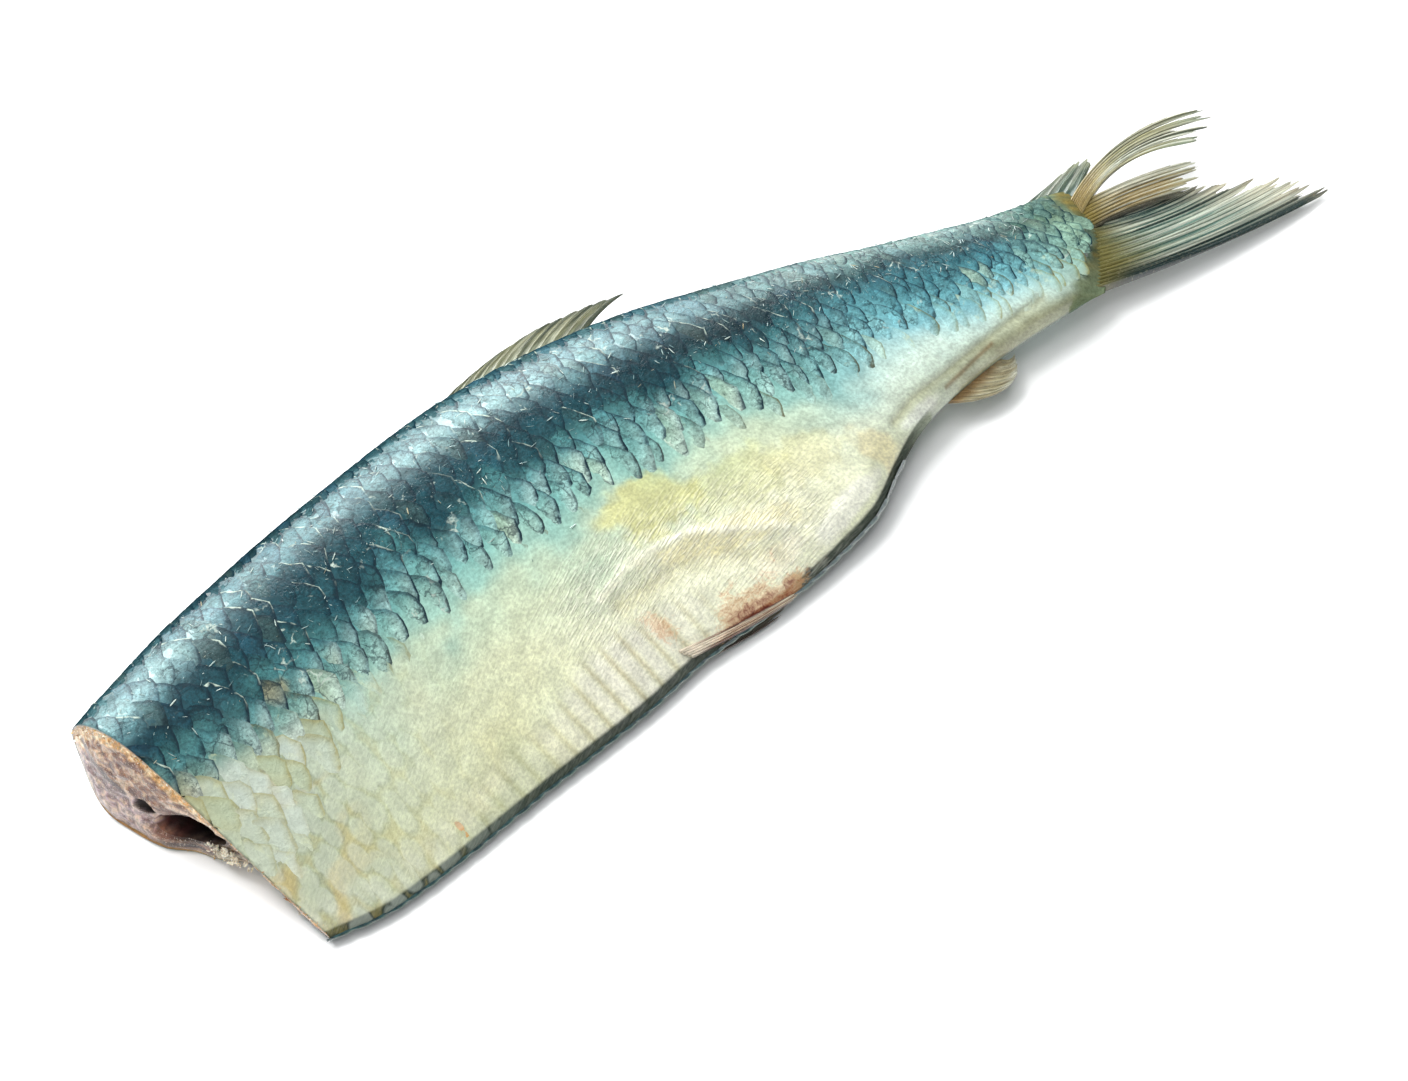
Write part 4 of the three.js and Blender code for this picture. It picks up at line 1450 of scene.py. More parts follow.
# %% [markdown]
# ## Paint of the cut
# The face of the cut is painted in coats too, from the reddish ground of the muscle to the dark
# cavity lining, which turns near black deep inside as painted shade. Its flakes, its fat and its
# septum are named by where they lie: how high between the flanks, how far down the fish, and how
# deep under the skin.

# %% Paint of the cut


def paint_cut(y, z, share, level, ring, deep):
    """The colour of the flesh. Ring is 1 at the skin, 0 at the mouth; deep is mm from the skin."""
    flakes = clouds(y, z, 1.5, 61) * 0.6 + clouds(y, z, 0.6, 62) * 0.4
    wander = clouds(y, z, 3, 63) - 0.5
    upper = smooth(-0.12, 0.12, level + 0.3 * wander)
    over = smooth(-0.5, 0.5, z - septum_height(y) + 1.0 * wander)
    fine = clouds(y, z, 0.45, 64)
    grain = clouds(y, z, 0.8, 69)
    under = smooth(-0.1, -0.5, level) * smooth(0.3, 0.42, share)
    crack = smooth(0.14, 0.04, np.abs(level + 0.66 + 0.2 * (clouds(y, z, 2, 67) - 0.5)))
    edge = smooth(3.3, 2.0, deep + 1.2 * (clouds(y, z, 1.4, 65) - 0.5))
    fat = edge * smooth(-0.2, 0.3, level)
    septum = near_line(y, z + 0.9 * (clouds(y, z, 1.6, 66) - 0.5), SEPTUM, 0.6)
    thin = smooth(0.52, 0.6, share) * upper
    # The cavity's mouth: the lining's dark red, turning near black where y is low, as painted shade.
    lip_lining_and_shade = smooth(0.42, 0.06, ring) * smooth(0.34, 0.46, share)
    upper_lip = hump(ring, 0.3, 0.07) * smooth(0.0, 0.3, level)
    shreds = smooth(0.58, 0.63, share) * smooth(0.8, 0.72, share) * smooth(0.3, -0.3, level)
    bone = from_bone(y, z)
    return coats(tone(186, 162, 168), [
        ((150, 98, 58), over),
        ((226, 200, 184), smooth(0.54, 0.72, flakes) * 0.7),
        ((104, 52, 44), smooth(0.48, 0.28, flakes) * 0.7),
        ((84, 46, 30), 0.66 * smooth(0.46, 0.28, grain)),
        ((236, 204, 166), 0.5 * smooth(0.58, 0.74, grain)),
        ((156, 112, 80), 0.85 * under),
        ((38, 18, 16), 0.92 * crack * smooth(0.38, 0.46, share)),
        ((222, 166, 94), 0.95 * fat),
        ((248, 228, 190), 0.85 * fat * smooth(0.52, 0.66, fine)),
        ((232, 210, 180), 0.85 * smooth(1.0, 0.4, deep) * smooth(0.0, -0.4, level)),
        ((50, 6, 12), np.minimum(1.3 * septum, 0.97)),
        ((202, 146, 88), 0.75 * thin),
        ((238, 206, 160), 0.7 * thin * smooth(0.5, 0.68, fine)),
        (blend(tone(88, 32, 26), tone(14, 6, 6), smooth(-4.5, -8, y)), 0.88 * lip_lining_and_shade),
        ((242, 216, 192), 0.85 * upper_lip * smooth(0.38, 0.46, share)),
        ((240, 228, 206), 0.9 * shreds * smooth(0.3, 0.5, flakes)),
        ((208, 184, 172), 0.4 * smooth(3.2, 2.4, bone) * smooth(9.5, 7.5, z)),
        # Painted shade: the hollow left by the backbone painted near black.
        ((14, 6, 9), 0.98 * smooth(HOLLOW_RADIUS + 0.2, HOLLOW_RADIUS - 0.3, bone)),
        # Painted shade: the inside of the cavity painted near black, darkest where y is low.
        (blend(tone(36, 9, 8), tone(4, 2, 3), smooth(-5, -8, y)), smooth(0.0, -0.08, ring)),
    ])


# %% [markdown]
# ## Shape of the cut flesh
# Rings run from the inside of the skin to the rim, over the face to the cavity's mouth, and on
# into the cavity, where they close. The face bulges a little, as soft flesh does when a knife
# has gone through it, and its flakes stand proud.

# %% Shape of the cut flesh
FACE_RINGS = 76
CAVITY_RINGS = 22


def make_cut_flesh():
    share, side = RING_SHARE, RING_SIDE
    edge = step_in(skin_point(cut_x(share, side), share, side), 0.3, 0.5)
    angle = np.arctan2(edge[:, 2] - CAVITY["z"], edge[:, 1] - CAVITY["y"])
    my, mz = mouth_point(angle)
    rows, paints = [], []
    for depth, inset in ((WALL_DEPTH - 1, 1.4), (20, 1.3), (3, 1.1), (0.6, 0.7)):
        rows.append(step_in(skin_point(cut_x(share, side) + depth, share, side), inset, 0.6))
        paints.append(np.tile(tone(190, 140, 104), (RING, 1)))
    behind = len(rows)
    for ring in 1 - np.arange(FACE_RINGS + 1) / FACE_RINGS:
        ease = ring**1.15
        y = my + (edge[:, 1] - my) * ease
        z = mz + (edge[:, 2] - mz) * ease
        x, at_share, level = cut_surface(y, z)
        bulge = 0.7 * smooth(0, 0.3, 1 - ring) * smooth(0, 0.2, ring) * smooth(0.62, 0.4, at_share)
        flakes = (clouds(y, z, 1.6, 61) - 0.5) * 0.45 + (clouds(y, z, 0.7, 62) - 0.5) * 0.3
        flakes = flakes * (1 - near_line(y, z, SEPTUM, 1.2))
        hollow = smooth(HOLLOW_RADIUS, HOLLOW_RADIUS * 0.7, from_bone(y, z))
        x = x - bulge - flakes * smooth(0, 0.12, 1 - ring) + 1.3 * hollow * smooth(0, 0.15, ring)
        rows.append(np.stack([x, y, z], -1))
        deep = np.hypot(edge[:, 1] - y, edge[:, 2] - z)
        paints.append(paint_cut(y, z, at_share, level, ring, deep))
    start = rows[-1][:, 0]
    for t in np.arange(1, CAVITY_RINGS + 1) / CAVITY_RINGS:
        size = math.sqrt(max(0.0, 1 - max(0.0, (t - 0.45) / 0.56) ** 2.4)) * 0.98
        y, z = mouth_point(angle, size)
        folds = 0.5 * (clouds(angle * 3, t * 30, 1, 68) - 0.5)
        x = start + (CUT_START + CAVITY["depth"] - start) * t
        rows.append(np.stack([x, y + folds * np.cos(angle), z + folds * np.sin(angle)], -1))
        paints.append(paint_cut(y, z, 0.5, 0.0, -t, 9 - t))
    rows = np.array(rows)
    obj = sleeve("cut_flesh", rows)
    store(obj, "paint", np.concatenate([*paints, paints[0][:1], paints[-1][:1]]))
    inside = from_bone(rows[..., 1], rows[..., 2]) < HOLLOW_RADIUS
    inside[:behind] = False
    inside[behind + FACE_RINGS:] = True
    inside = np.append(inside.ravel(), [False, True])
    chosen = [all(inside[v] for v in face.vertices) for face in obj.data.polygons]
    share_materials(obj, flesh_material, lining_and_shade_material, chosen)
    return obj


# %% [markdown]
# ## Material of the flesh
# Raw flesh is wet, and light goes a little way into it. Fine noise stretched along the fibres
# gives its grain. The cavity's lining is darker and hardly shines; the near-black paint that it
# carries deep inside is painted shade.

# %% Material of the flesh


def make_flesh_material():
    material = new_material("raw herring flesh", 0.34, coat=0.6)
    place = places(material)
    fibre = noise(stretched(place, (0.0014, 0.0007, 0.0011)), 1, 5, 0.65, 0.6)
    fine = noise(place, 3200, 2, 0.6)
    grain = between(fibre, 0.3, 0.7, 0.5, 1.36)
    base = mixed(1.0, carried(material, "paint", "Color"), grain, "MULTIPLY")
    base = mixed(between(fine, 0.58, 0.68, 0, 0.6), base, tone(240, 220, 200))
    finish_material(material, base, calc("ADD", fibre, fine), 0.00035)
    return let_light_in(material, 0.12, (0.0016, 0.0007, 0.0004))


def make_lining_and_shade_material():
    # It carries the cut's paint, which inside the cavity and the backbone's hollow is painted shade.
    material = new_material("lining and painted shade of the cavity", 0.6, coat=0.15, specular=0.2)
    folds = noise(places(material), 700, 4, 0.6)
    grain = between(folds, 0.3, 0.7, 0.5, 1.4)
    base = mixed(1.0, carried(material, "paint", "Color"), grain, "MULTIPLY")
    return finish_material(material, base, folds, 0.0003)


flesh_material = make_flesh_material()
lining_and_shade_material = make_lining_and_shade_material()
cut_flesh = make_cut_flesh()
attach(cut_flesh, "root")

# %% [markdown]
# ## Crumbs of the cut
# A knife leaves crumbs of fat and threads of flesh along the edge. They are shards again, set
# close together on the rim, and thickest where the lower belly wall is torn.

# %% Crumbs of the cut
CRUMBS = 420
TORN = {"from": (-102.4, -11.4, 4.4), "to": (-100.2, -16.2, 4.3), "across": (0.9, 1.0, 3.6)}
FLAP = (-96.3, -25.8, 4.4)
IN_TORN_STRIP = 170
IN_FLAP = 26


def make_crumb_points():
    rng = np.random.default_rng(31)
    share = rng.random(CRUMBS)
    side = np.where((rng.random(CRUMBS) < 0.66) | (share < 0.45), 1.0, -1.0)
    torn = rng.random(CRUMBS) < 0.4
    share = np.where((side < 0) & torn, rng.uniform(0.54, 0.74, CRUMBS), share)
    rim = skin_point(cut_x(share, side), share, side)
    middle = np.array([-106, -4.0, 9.5])
    toward = (middle - rim) * [0, 1, 1]
    length = np.linalg.norm(toward, axis=1, keepdims=True)
    deep = np.minimum(rng.random((CRUMBS, 1)) ** 2 * 1.6, length * 0.5)
    point = rim + toward / length * (0.3 + deep)
    point[:, 0] += rng.uniform(-0.3, 0.3, CRUMBS)
    start, way = np.array(TORN["from"]), np.array(TORN["to"]) - TORN["from"]
    number = np.arange(CRUMBS)
    patched = number < IN_TORN_STRIP
    run, wide = rng.normal(0.5, 0.28, (CRUMBS, 1)), rng.normal(0, 0.24, (CRUMBS, 3))
    point = np.where(patched[:, None], start + way * run + TORN["across"] * wide, point)
    flap = ~patched & (number < IN_TORN_STRIP + IN_FLAP)
    point = np.where(flap[:, None], np.array(FLAP) + rng.normal(0, 0.4, (CRUMBS, 3)), point)
    obj = make_mesh("crumb_points", point, [])
    store(obj, "turn", rng.uniform(0, 6.28, (CRUMBS, 3)))
    size = 0.35 + 0.55 * rng.random(CRUMBS) ** 2 + 0.5 * patched + 0.7 * flap
    span = np.stack([size, size * rng.uniform(0.4, 0.9, CRUMBS), size * 1.2], -1)
    store(obj, "span", span * MM)
    brown = rng.random(CRUMBS) ** 1.6
    white = (patched | (rng.random(CRUMBS) < 0.2)) & ~flap
    store(obj, "paint", coats(tone(224, 180, 112), [
        ((178, 116, 66), brown), ((255, 246, 224), 0.9 * white)]))
    return obj


crumbs = set_copies(make_crumb_points(), make_shard(), "cut_crumbs", 0.2, 13, flesh_material)
press_flat(crumbs)
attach(crumbs, "root")

# %% [markdown]
# ## Backbone
# The backbone is a chain of vertebrae shaped like sewing spools. A tree sets one spool after
# another on the line that the solid rod follows. The first one shows in the cut.

# %% Backbone


def bone_point(x):
    """The middle of the backbone at x."""
    share = BONE["share"] + 0.12 * smooth(CUT_START, BONE["end"], x)
    return (skin_point(x, share, 1) + skin_point(x, share, -1)) / 2


def make_spool():
    """One vertebra, 1 long and 2 wide, with hollow ends."""
    sides = 10
    points = [(-0.36, 0, 0)]
    half = [(0.3, 0.82), (0.5, 1.0), (0.48, 0.8)]
    for x, r in [*((-x, r) for x, r in half[::-1]), (0, 0.66), *half]:
        points += [(x, r * math.cos(a), r * math.sin(a))
                   for a in np.arange(sides) * 2 * math.pi / sides]
    points.append((0.36, 0, 0))
    rings = (len(points) - 2) // sides
    faces = [tuple(v + 1 for v in face) for face in ring_faces(rings, sides)]
    last = 1 + (rings - 1) * sides
    for j in range(sides):
        n = (j + 1) % sides
        faces += [(0, 1 + n, 1 + j), (len(points) - 1, last + j, last + n)]
    obj = make_bit("spool", points, faces)
    obj.data.shade_smooth()
    return obj


def make_bone_material():
    material = new_material("herring bone", 0.45, coat=0.3)
    spots = noise(places(material), 1500, 3, 0.6)
    base = mixed(between(spots, 0.35, 0.65), tone(52, 26, 26), tone(120, 84, 76))
    return finish_material(material, base, spots, 0.0002, 0.7)


def make_chain_tree():
    group, source, output = new_tree(
        "pieces in a chain",
        {"Piece": "Object", "Unevenness": "Float", "Seed": "Int", "Material": "Material"})
    given = source.outputs
    piece = add_node(group, "GeometryNodeObjectInfo", Object=given["Piece"])
    least = add_node(
        group, "ShaderNodeMath", {"operation": "SUBTRACT"}, _0=1.0, _1=given["Unevenness"])
    most = add_node(group, "ShaderNodeMath", {"operation": "ADD"}, _0=1.0, _1=given["Unevenness"])
    draw = add_node(
        group, "FunctionNodeRandomValue", {"data_type": "FLOAT"},
        _2=least.outputs[0], _3=most.outputs[0], Seed=given["Seed"])
    size = add_node(
        group, "ShaderNodeVectorMath", {"operation": "SCALE"},
        _0=named(group, "span", "FLOAT_VECTOR"), Scale=draw.outputs[1])
    placed = add_node(
        group, "GeometryNodeInstanceOnPoints",
        Points=given["Geometry"], Instance=piece.outputs["Geometry"],
        Rotation=named(group, "turn", "FLOAT_VECTOR"), Scale=size.outputs[0])
    finish_tree(group, placed.outputs["Instances"], given["Material"], output)
    return group


def make_bone_points():
    pitch, end = BONE["pitch"], BONE["end"]
    start = float((cut_x(BONE["share"], -1) + cut_x(BONE["share"], 1)) / 2) + BONE["start"]
    x = np.arange(start + pitch / 2, end - pitch / 2, pitch)
    obj = make_mesh("bone_points", bone_point(x), [])
    turns = [Vector((1, 0, 0)).rotation_difference(Vector(way)).to_euler()
             for way in bone_point(x + 1) - bone_point(x - 1)]
    store(obj, "turn", [list(turn) for turn in turns])
    wide = BONE["radius"] * (1 - 0.45 * smooth(-20, end, x)) * 0.94
    store(obj, "span", np.stack([0 * x + pitch * 0.98, wide, wide], -1) * MM)
    return obj


spool = make_spool()
backbone = grow(make_bone_points(), make_chain_tree(), {
    "Piece": spool, "Unevenness": 0.03, "Seed": 3, "Material": make_bone_material()},
    "backbone_chain")
bpy.data.objects.remove(spool)
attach(backbone, "root")
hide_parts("backbone")

# %% [markdown]
# ## Fins
# A fin is a web of thin skin held by rays. Each ray starts as one rod and splits towards its
# tip. The web is a closed plate here, thick at its root and thin at its ragged edge. It is laid
# out by rule between a root line and a tip line of three points each, as in the solid.

# %% Lines of the fins
# root and tip: three points each. rays, bow, thickness at root and tip, notch between the rays,
# tufts with the gaps between them, colours of root, middle, tip and streaks, dark borders, and
# how pale the palest rays are. On the tail the dark borders are painted shade in the fork
# between the lobes and along the lower lobe's edge.
FINS = {
    "dorsal_fin": {
        "root": [(-34, 31.8, 12.2), (-20, 32.6, 12.4), (-5, 31.2, 12.4)],
        "tip": [(-23, 35.4, 12.8), (-9, 37.2, 13.2), (8, 34.8, 13.4)],
        "rays": 13, "bow": 0.9, "thick": (1.5, 0.5), "notch": 0.05, "tufts": 3, "gap": 0.12,
        "colours": ((150, 158, 136), (122, 124, 92), (84, 92, 76), (44, 58, 52)),
        "borders": (0.6, 0.1), "pale": 0.15},
    "pelvic_fin_upper": {
        "root": [(-21.4, -24.3, 5.6), (-20.6, -25.1, 5), (-19.6, -25.8, 4)],
        "tip": [(1.6, -24.9, 3.8), (1.9, -25.3, 3.5), (1.3, -25.7, 3.1)],
        "rays": 5, "bow": -0.4, "thick": (1.4, 0.5), "notch": 0.02, "tufts": 1, "gap": 0.06,
        "colours": ((226, 212, 190), (184, 148, 118), (206, 186, 156), (80, 34, 30)),
        "borders": (0.95, 0.9), "pale": 0.45},
    "pelvic_fin_lower": {
        "root": [(-22, -24.6, 1.8), (-20.5, -25.4, 1.6), (-19, -26, 1.5)],
        "tip": [(-0.8, -24.4, 1.1), (0, -25, 1.0), (-1.6, -26, 0.9)],
        "rays": 7, "bow": -0.5, "thick": (1.2, 0.4), "notch": 0.06, "tufts": 1, "gap": 0.2,
        "colours": ((150, 130, 110), (90, 76, 64), (120, 104, 84), (50, 34, 32)),
        "borders": (0.3, 0.6), "pale": 0.15},
    "anal_fin": {
        "root": [(42.6, -10.2, 6.2), (48, -9.0, 6.6), (54.5, -7.8, 7)],
        "tip": [(54.4, -12.6, 4.4), (57.0, -11.2, 4.8), (58.4, -8.2, 5.8)],
        "rays": 9, "bow": -1.1, "thick": (0.9, 0.4), "notch": 0.01, "tufts": 1, "gap": 0.05,
        "colours": ((146, 116, 72), (176, 168, 134), (204, 206, 188), (146, 136, 104)),
        "borders": (0.1, 0.4), "pale": 0.15},
    "tail_spurs": {
        "root": [(71, 12.8, 8.4), (79, 11.6, 8.2), (86, 10.6, 8)],
        "tip": [(82, 14.6, 8.6), (90, 16.4, 8.6), (92, 14.8, 8.4)],
        "rays": 6, "bow": 0.2, "thick": (1.8, 0.6), "notch": 0.06, "tufts": 3, "gap": 0.2,
        "colours": ((72, 94, 86), (96, 114, 98), (140, 146, 118), (36, 52, 48)),
        "borders": (0.7, 0.2), "pale": 0.25},
    "tail_upper_outer": {
        "root": [(83, 9.8, 8), (83.5, 8.2, 8), (83, 6.4, 8)],
        "tip": [(116.2, 11.8, 10.4), (114.6, 8.8, 10), (109.5, 6.8, 9.6)],
        "rays": 9, "bow": 4.4, "thick": (3.0, 0.5), "notch": 0.08, "tufts": 4, "gap": 0.34,
        "colours": ((158, 140, 92), (158, 154, 112), (118, 132, 110), (42, 56, 48)),
        "borders": (0.45, 0.0), "pale": 0.75},
    "tail_upper_inner": {
        "root": [(83, 9, 7.8), (82, 6, 7.8), (80, 3, 7.8)],
        "tip": [(108.6, 5.6, 7.6), (107.8, 3, 6.8), (102.5, 1.4, 6)],
        "rays": 9, "bow": 1.2, "thick": (3.0, 0.5), "notch": 0.08, "tufts": 4, "gap": 0.2,
        "colours": ((134, 118, 62), (160, 138, 88), (168, 166, 134), (32, 34, 28)),
        "borders": (0.0, 0.9), "pale": 0.5},
    "tail_lower": {
        "root": [(81, 6.4, 7.6), (78, -0.6, 7.4), (75, -6.2, 7)],
        "tip": [(103.5, 3.8, 4.6), (120.5, -2.6, 2), (127.8, -10, 1.4)],
        "rays": 18, "bow": -1.4, "thick": (3.4, 0.45), "notch": 0.05, "tufts": 7, "gap": 0.14,
        "colours": ((122, 116, 66), (88, 122, 110), (192, 184, 160), (22, 42, 42)),
        "borders": (1.0, 1.0), "pale": 0.62},
}
print("fins:", ", ".join(FINS))

# %% [markdown]
# ## Webs of the fins
# Each web is a grid across the rays and along them, with an upper and a lower sheet that meet at
# the edges. How far it reaches along each ray decides its outline: whole tufts of rays stick
# together, with gaps torn between them.

# %% Webs of the fins
WEB_COLUMNS = 6
WEB_ROWS = 30


def arc(points, share):
    """A smooth curve through three points."""
    a, b, c = (np.array(p, float) for p in points)
    t = np.asarray(share, float)[..., None]
    control = 2 * b - (a + c) / 2
    return (1 - t) ** 2 * a + 2 * t * (1 - t) * control + t**2 * c


def fin_point(fin, across, along):
    """The middle of the web at a share across the rays and a share along them."""
    across, along = np.broadcast_arrays(np.asarray(across, float), np.asarray(along, float))
    root, tip = arc(fin["root"], across), arc(fin["tip"], across)
    point = root + (tip - root) * along[..., None]
    point[..., 1] += fin["bow"] * 4 * along * (1 - along)
    return point


def fin_reach(fin, across, seed):
    """How far along the rays the web reaches at a share across: pointed tufts with gaps."""
    rays = fin["rays"]
    ray = np.floor(across * rays)
    tip = random_at(ray, 1, seed) * 0.03
    between_rays = np.abs(across * rays - ray - 0.5) * 2
    tuft = across * fin["tufts"]
    tuft = tuft + 0.3 * (clouds(tuft, 0 * tuft, 1, seed + 8) - 0.5)
    from_middle = np.abs(tuft - np.floor(tuft) - 0.5) * 2
    gap = fin["gap"] * from_middle**1.6 * (0.6 + 0.8 * random_at(np.floor(tuft + 0.5), 3, seed))
    ragged = (clouds(across * rays * 3, 0 * across, 1, seed + 5) - 0.5) * 0.03
    return 0.995 - tip - fin["notch"] * between_rays**2 - gap * smooth(1.05, 0.8, across) + ragged


def paint_fin(fin, across, along, seed):
    """The colour of a fin: warm at the root, paler at the tips, with dark streaks and borders."""
    root, middle, tip, dark = fin["colours"]
    rays = fin["rays"]
    first, last = fin["borders"]
    wander = along + 0.12 * (clouds(across * rays, along * 3, 1, seed + 12) - 0.5)
    groove = np.abs(np.cos(np.pi * across * rays)) ** 3
    streak = clouds(across * rays * 2.3, along * 1.5, 1, seed)
    pale = clouds(across * rays * 1.7, along * 1.2, 1, seed + 21)
    # Dark borders at the edges; on the tail, painted shade in the fork and on the lower lobe's edge.
    border = first * smooth(0.24, 0.0, across) + last * smooth(0.72, 0.97, across)
    return coats(tone(*root), [
        (middle, smooth(0.1, 0.42, wander)),
        (tip, smooth(0.62, 0.95, wander)),
        (dark, 0.62 * groove * smooth(0.05, 0.3, along) * (0.3 + streak * 0.8)),
        (dark, 0.72 * smooth(0.5, 0.75, streak) * smooth(0.1, 0.36, along)),
        ((220, 224, 206), fin["pale"] * smooth(0.56, 0.8, pale) * smooth(0.12, 0.4, along)),
        (dark, border * smooth(0.0, 0.2, along) * (1 - 0.5 * smooth(0.85, 1, along))),
    ])


def web_thickness(fin, along):
    """How thick the web is: much at the root, little at the tips."""
    root, tip = fin["thick"]
    return tip * 0.4 + (root - tip * 0.4) * (1 - along) ** 2


def make_web(name, fin, seed):
    rays = fin["rays"]
    columns, rows = rays * WEB_COLUMNS, WEB_ROWS
    across = np.linspace(0, 1, columns + 1)[:, None] + np.zeros((1, rows + 1))
    step = np.linspace(0, 1, rows + 1)[None] + 0 * across
    along = step * fin_reach(fin, across, seed)
    half = web_thickness(fin, step) * (1 - 0.35 * np.abs(np.cos(np.pi * across * rays))) / 2
    half = half * np.sqrt(np.clip(np.minimum(across, 1 - across) * columns / 1.5 + 0.25, 0, 1))
    ripple = 0.25 * (clouds(across * rays, along * 4, 1, seed + 2) - 0.5) * smooth(0.1, 0.6, along)
    middle = fin_point(fin, across, along)
    top, low = middle.copy(), middle.copy()
    top[..., 2] += half + ripple
    low[..., 2] = np.maximum(low[..., 2] + ripple - half, 0.05)
    flat = np.concatenate([top.reshape(-1, 3), low.reshape(-1, 3)])
    count, wide = (columns + 1) * (rows + 1), rows + 1
    faces = []
    for a in (i * wide + j for i in range(columns) for j in range(rows)):
        b = a + wide
        faces += [(a, b, b + 1, a + 1), (count + a + 1, count + b + 1, count + b, count + a)]
    for a in range(0, columns * wide, wide):
        b = a + wide
        faces.append((a, count + a, count + b, b))
        faces.append((b + rows, count + b + rows, count + a + rows, a + rows))
    edge = columns * wide
    for j in range(rows):
        faces.append((j, j + 1, count + j + 1, count + j))
        faces.append((edge + j + 1, edge + j, count + edge + j, count + edge + j + 1))
    obj = closed_mesh(name, flat, faces)
    across, along = np.tile(across.ravel(), 2), np.tile(along.ravel(), 2)
    store(obj, "paint", paint_fin(fin, across, along, seed))
    store(obj, "web", np.stack([across * rays, along * 10, 0 * along], -1))
    return obj


def make_fin_material(name, coat):
    material = new_material(name, 0.38, coat=coat)
    web = carried(material, "web", "Vector")
    streaks = noise(stretched(web, (0.16, 2.4, 1)), 1, 4, 0.6, 0.3)
    lines = between(streaks, 0.3, 0.7, 0.58, 1.26)
    base = mixed(1.0, carried(material, "paint", "Color"), lines, "MULTIPLY")
    base = mixed(between(noise(web, 9, 2), 0.55, 0.75, 0, 0.25), base, tone(222, 214, 184))
    finish_material(material, base, streaks, 0.0002, 0.6)
    return let_light_in(material, 0.1, (0.001, 0.0008, 0.0005))


web_material = make_fin_material("fin web", 0.5)
for seed, (name, fin) in enumerate(FINS.items()):
    web = make_web(name, fin, seed + 1)
    web.data.materials.append(web_material)
    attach(web, "root")

# %% [markdown]
# ## Rays of the fins
# The rays could be modelled one by one, or drawn in a texture. They are grown along curves,
# because a curve can split, taper and run past the web, as the torn tips of a real fin do. The
# tree takes bare lines, gives them a radius that each point carries, and sweeps a small ring.

# %% Rays of the fins
RAY_STEPS = 18
BRANCHES = 4
BRANCH_STARTS = (0.0, 0.58, 0.3, 0.58)


def ray_lines(fin, seed):
    """One line after another for the branching rays of a fin: points, radii, colours, places."""
    rays = fin["rays"]
    for ray in range(rays):
        own = (ray + 0.5) / rays
        for branch in range(BRANCHES):
            spread = (branch - (BRANCHES - 1) / 2) / BRANCHES
            pair = (branch // 2 - 0.5) * 0.5
            where = np.clip(own + (pair * 0.5 + (spread - pair) * 0.7) / rays, 0, 1)
            reach = float(fin_reach(fin, np.array(where), seed))
            reach = min(reach + random_at(ray, branch + 3, seed) * 0.03, 1.0)
            t = np.linspace(BRANCH_STARTS[branch], reach, RAY_STEPS)
            first, second = smooth(0.25, 0.7, t), smooth(0.55, 1.0, t)
            across = own + (pair * 0.5 * first + (spread - pair) * 0.7 * second) / rays
            across = np.clip(across, 0.002, 0.998)
            thick = web_thickness(fin, t)
            line = fin_point(fin, across, t)
            line[:, 2] = np.maximum(line[:, 2], 0.4) + thick * 0.33
            radius = 0.08 + 0.19 * (1 - t) * (1 - 0.4 * first)
            radius = radius * (1 - 0.7 * smooth(0.85, 1.0, t)) * min(1.0, 0.5 + thick[0] * 0.25)
            share = fin["pale"] * random_at(ray, branch + 11, seed) * smooth(0.1, 0.3, t)
            pale = blend(paint_fin(fin, across, t, seed), tone(222, 222, 200),
                         share * smooth(1.0, 0.75, across))
            yield line, radius, pale, np.stack([across * rays, t * 10, 0 * t + 1], -1)


def make_ray_tree():
    group, source, output = new_tree(
        "rays along lines", {"Sides": "Int", "Thickness": "Float", "Material": "Material"})
    given = source.outputs
    curves = add_node(group, "GeometryNodeMeshToCurve", Mesh=given["Geometry"])
    radius = calc("MULTIPLY", named(group, "radius_m"), given["Thickness"])
    sized = add_node(
        group, "GeometryNodeSetCurveRadius", Curve=curves.outputs["Curve"], Radius=radius)
    ring = add_node(
        group, "GeometryNodeCurvePrimitiveCircle", Resolution=given["Sides"], Radius=1.0)
    swept = add_node(
        group, "GeometryNodeCurveToMesh", Curve=sized.outputs["Curve"],
        Profile_Curve=ring.outputs["Curve"], Scale=radius, Fill_Caps=True)
    soft = add_node(group, "GeometryNodeSetShadeSmooth", Geometry=swept.outputs["Mesh"])
    finish_tree(group, soft.outputs["Geometry"], given["Material"], output)
    return group


all_rays = [ray for seed, fin in enumerate(FINS.values()) for ray in ray_lines(fin, seed + 1)]
ray_points, radii, paints, webs = (np.concatenate(column) for column in zip(*all_rays))
ray_edges = [(k, k + 1) for k in range(len(ray_points) - 1) if (k + 1) % RAY_STEPS]
ray_source = make_mesh("ray_lines", ray_points, [], ray_edges)
store(ray_source, "radius_m", radii * MM)
store(ray_source, "paint", paints)
store(ray_source, "web", webs)
fin_rays = grow(ray_source, make_ray_tree(), {
    "Sides": 6, "Thickness": 1.0, "Material": make_fin_material("fin ray", 0.6)}, "fin_rays")
press_flat(fin_rays)
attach(fin_rays, "root")

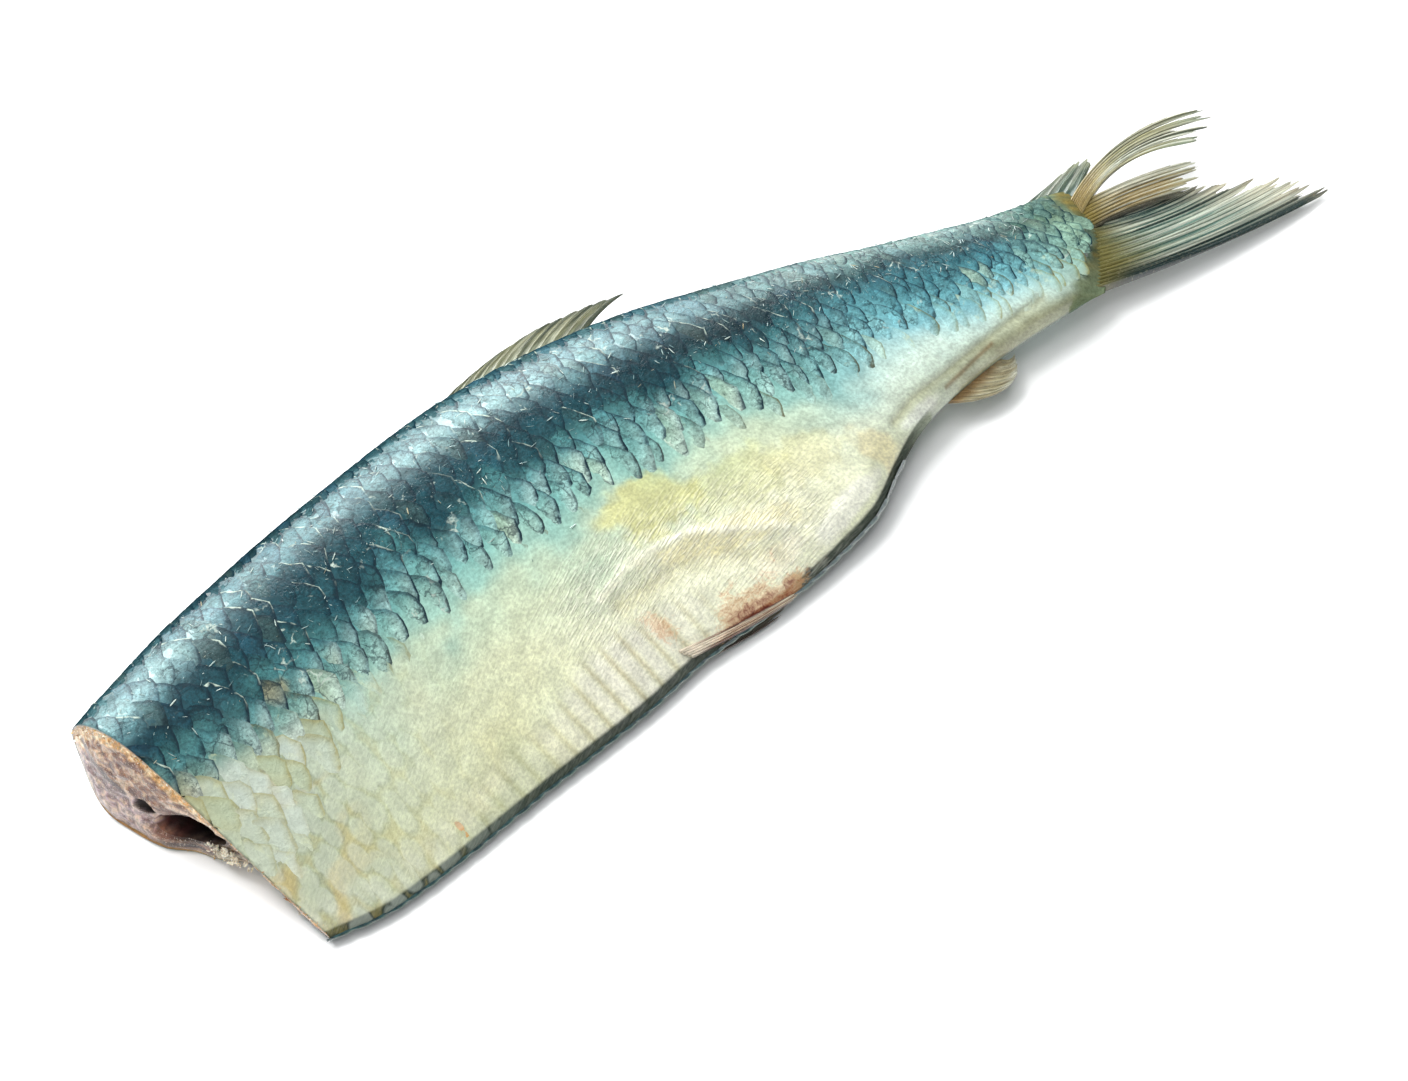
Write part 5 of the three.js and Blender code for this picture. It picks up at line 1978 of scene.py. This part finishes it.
# %% [markdown]
# ## Floor and light
# The fish lies on a plain white floor. A broad lamp stands low behind it: its reflection, with a
# highlight painted into the skin's colours, is the bright band along the back, and its light falls
# over the fish and leaves a soft shadow on the near side. A key light from high on the far side
# darkens the shadow where the fish touches the floor. Two more broad lamps and the pale
# surroundings fill the shadows. The key and the fill from above leave no reflection, so the band
# along the back stays clean.

# %% Floor and light


def make_floor():
    mesh = bpy.data.meshes.new("floor")
    half = 3.0
    mesh.from_pydata([(-half, -half, 0), (half, -half, 0), (half, half, 0), (-half, half, 0)], [],
                     [(0, 1, 2, 3)])
    obj = bpy.data.objects.new("floor", mesh)
    bpy.context.collection.objects.link(obj)
    material = bpy.data.materials.new("white table")
    material.use_nodes = True
    shader = material.node_tree.nodes["Principled BSDF"]
    shader.inputs["Base Color"].default_value = (0.92, 0.92, 0.92, 1)
    shader.inputs["Roughness"].default_value = 0.9
    shader.inputs["Specular IOR Level"].default_value = 0.1
    mesh.materials.append(material)
    obj.location.z = -0.0001
    return obj


def add_lamp(name, azimuth, elevation, distance, size, power):
    """A soft box that looks at the fish from a direction. Azimuth 0 is +X and 90 is +Y."""
    a, e = math.radians(azimuth), math.radians(elevation)
    way = Vector((math.cos(a) * math.cos(e), math.sin(a) * math.cos(e), math.sin(e)))
    data = bpy.data.lights.new(name, "AREA")
    data.shape = "RECTANGLE"
    data.size, data.size_y = size
    data.energy = power
    lamp = bpy.data.objects.new(name, data)
    bpy.context.collection.objects.link(lamp)
    lamp.location = way * distance
    lamp.rotation_mode = "QUATERNION"
    lamp.rotation_quaternion = way.to_track_quat("Z", "Y")
    lamp.visible_camera = False
    return lamp


floor = make_floor()
add_lamp("soft box behind", 82, 24, 1.1, (0.8, 0.42), 11)
add_lamp("soft box in front", -128, 56, 1.2, (0.9, 0.7), 3.1)
fill = add_lamp("broad fill above", 104, 78, 1.1, (1.0, 1.0), 9.5)
key = add_lamp("key light", 120, 66, 1.2, (0.4, 0.4), 9)
for lamp in (fill, key):
    lamp.visible_glossy = False
world = bpy.data.worlds.new("pale surroundings")
world.use_nodes = True
world.node_tree.nodes["Background"].inputs["Color"].default_value = (0.84, 0.96, 0.97, 1)
world.node_tree.nodes["Background"].inputs["Strength"].default_value = 0.16
bpy.context.scene.world = world
bpy.context.scene.view_settings.view_transform = "Standard"
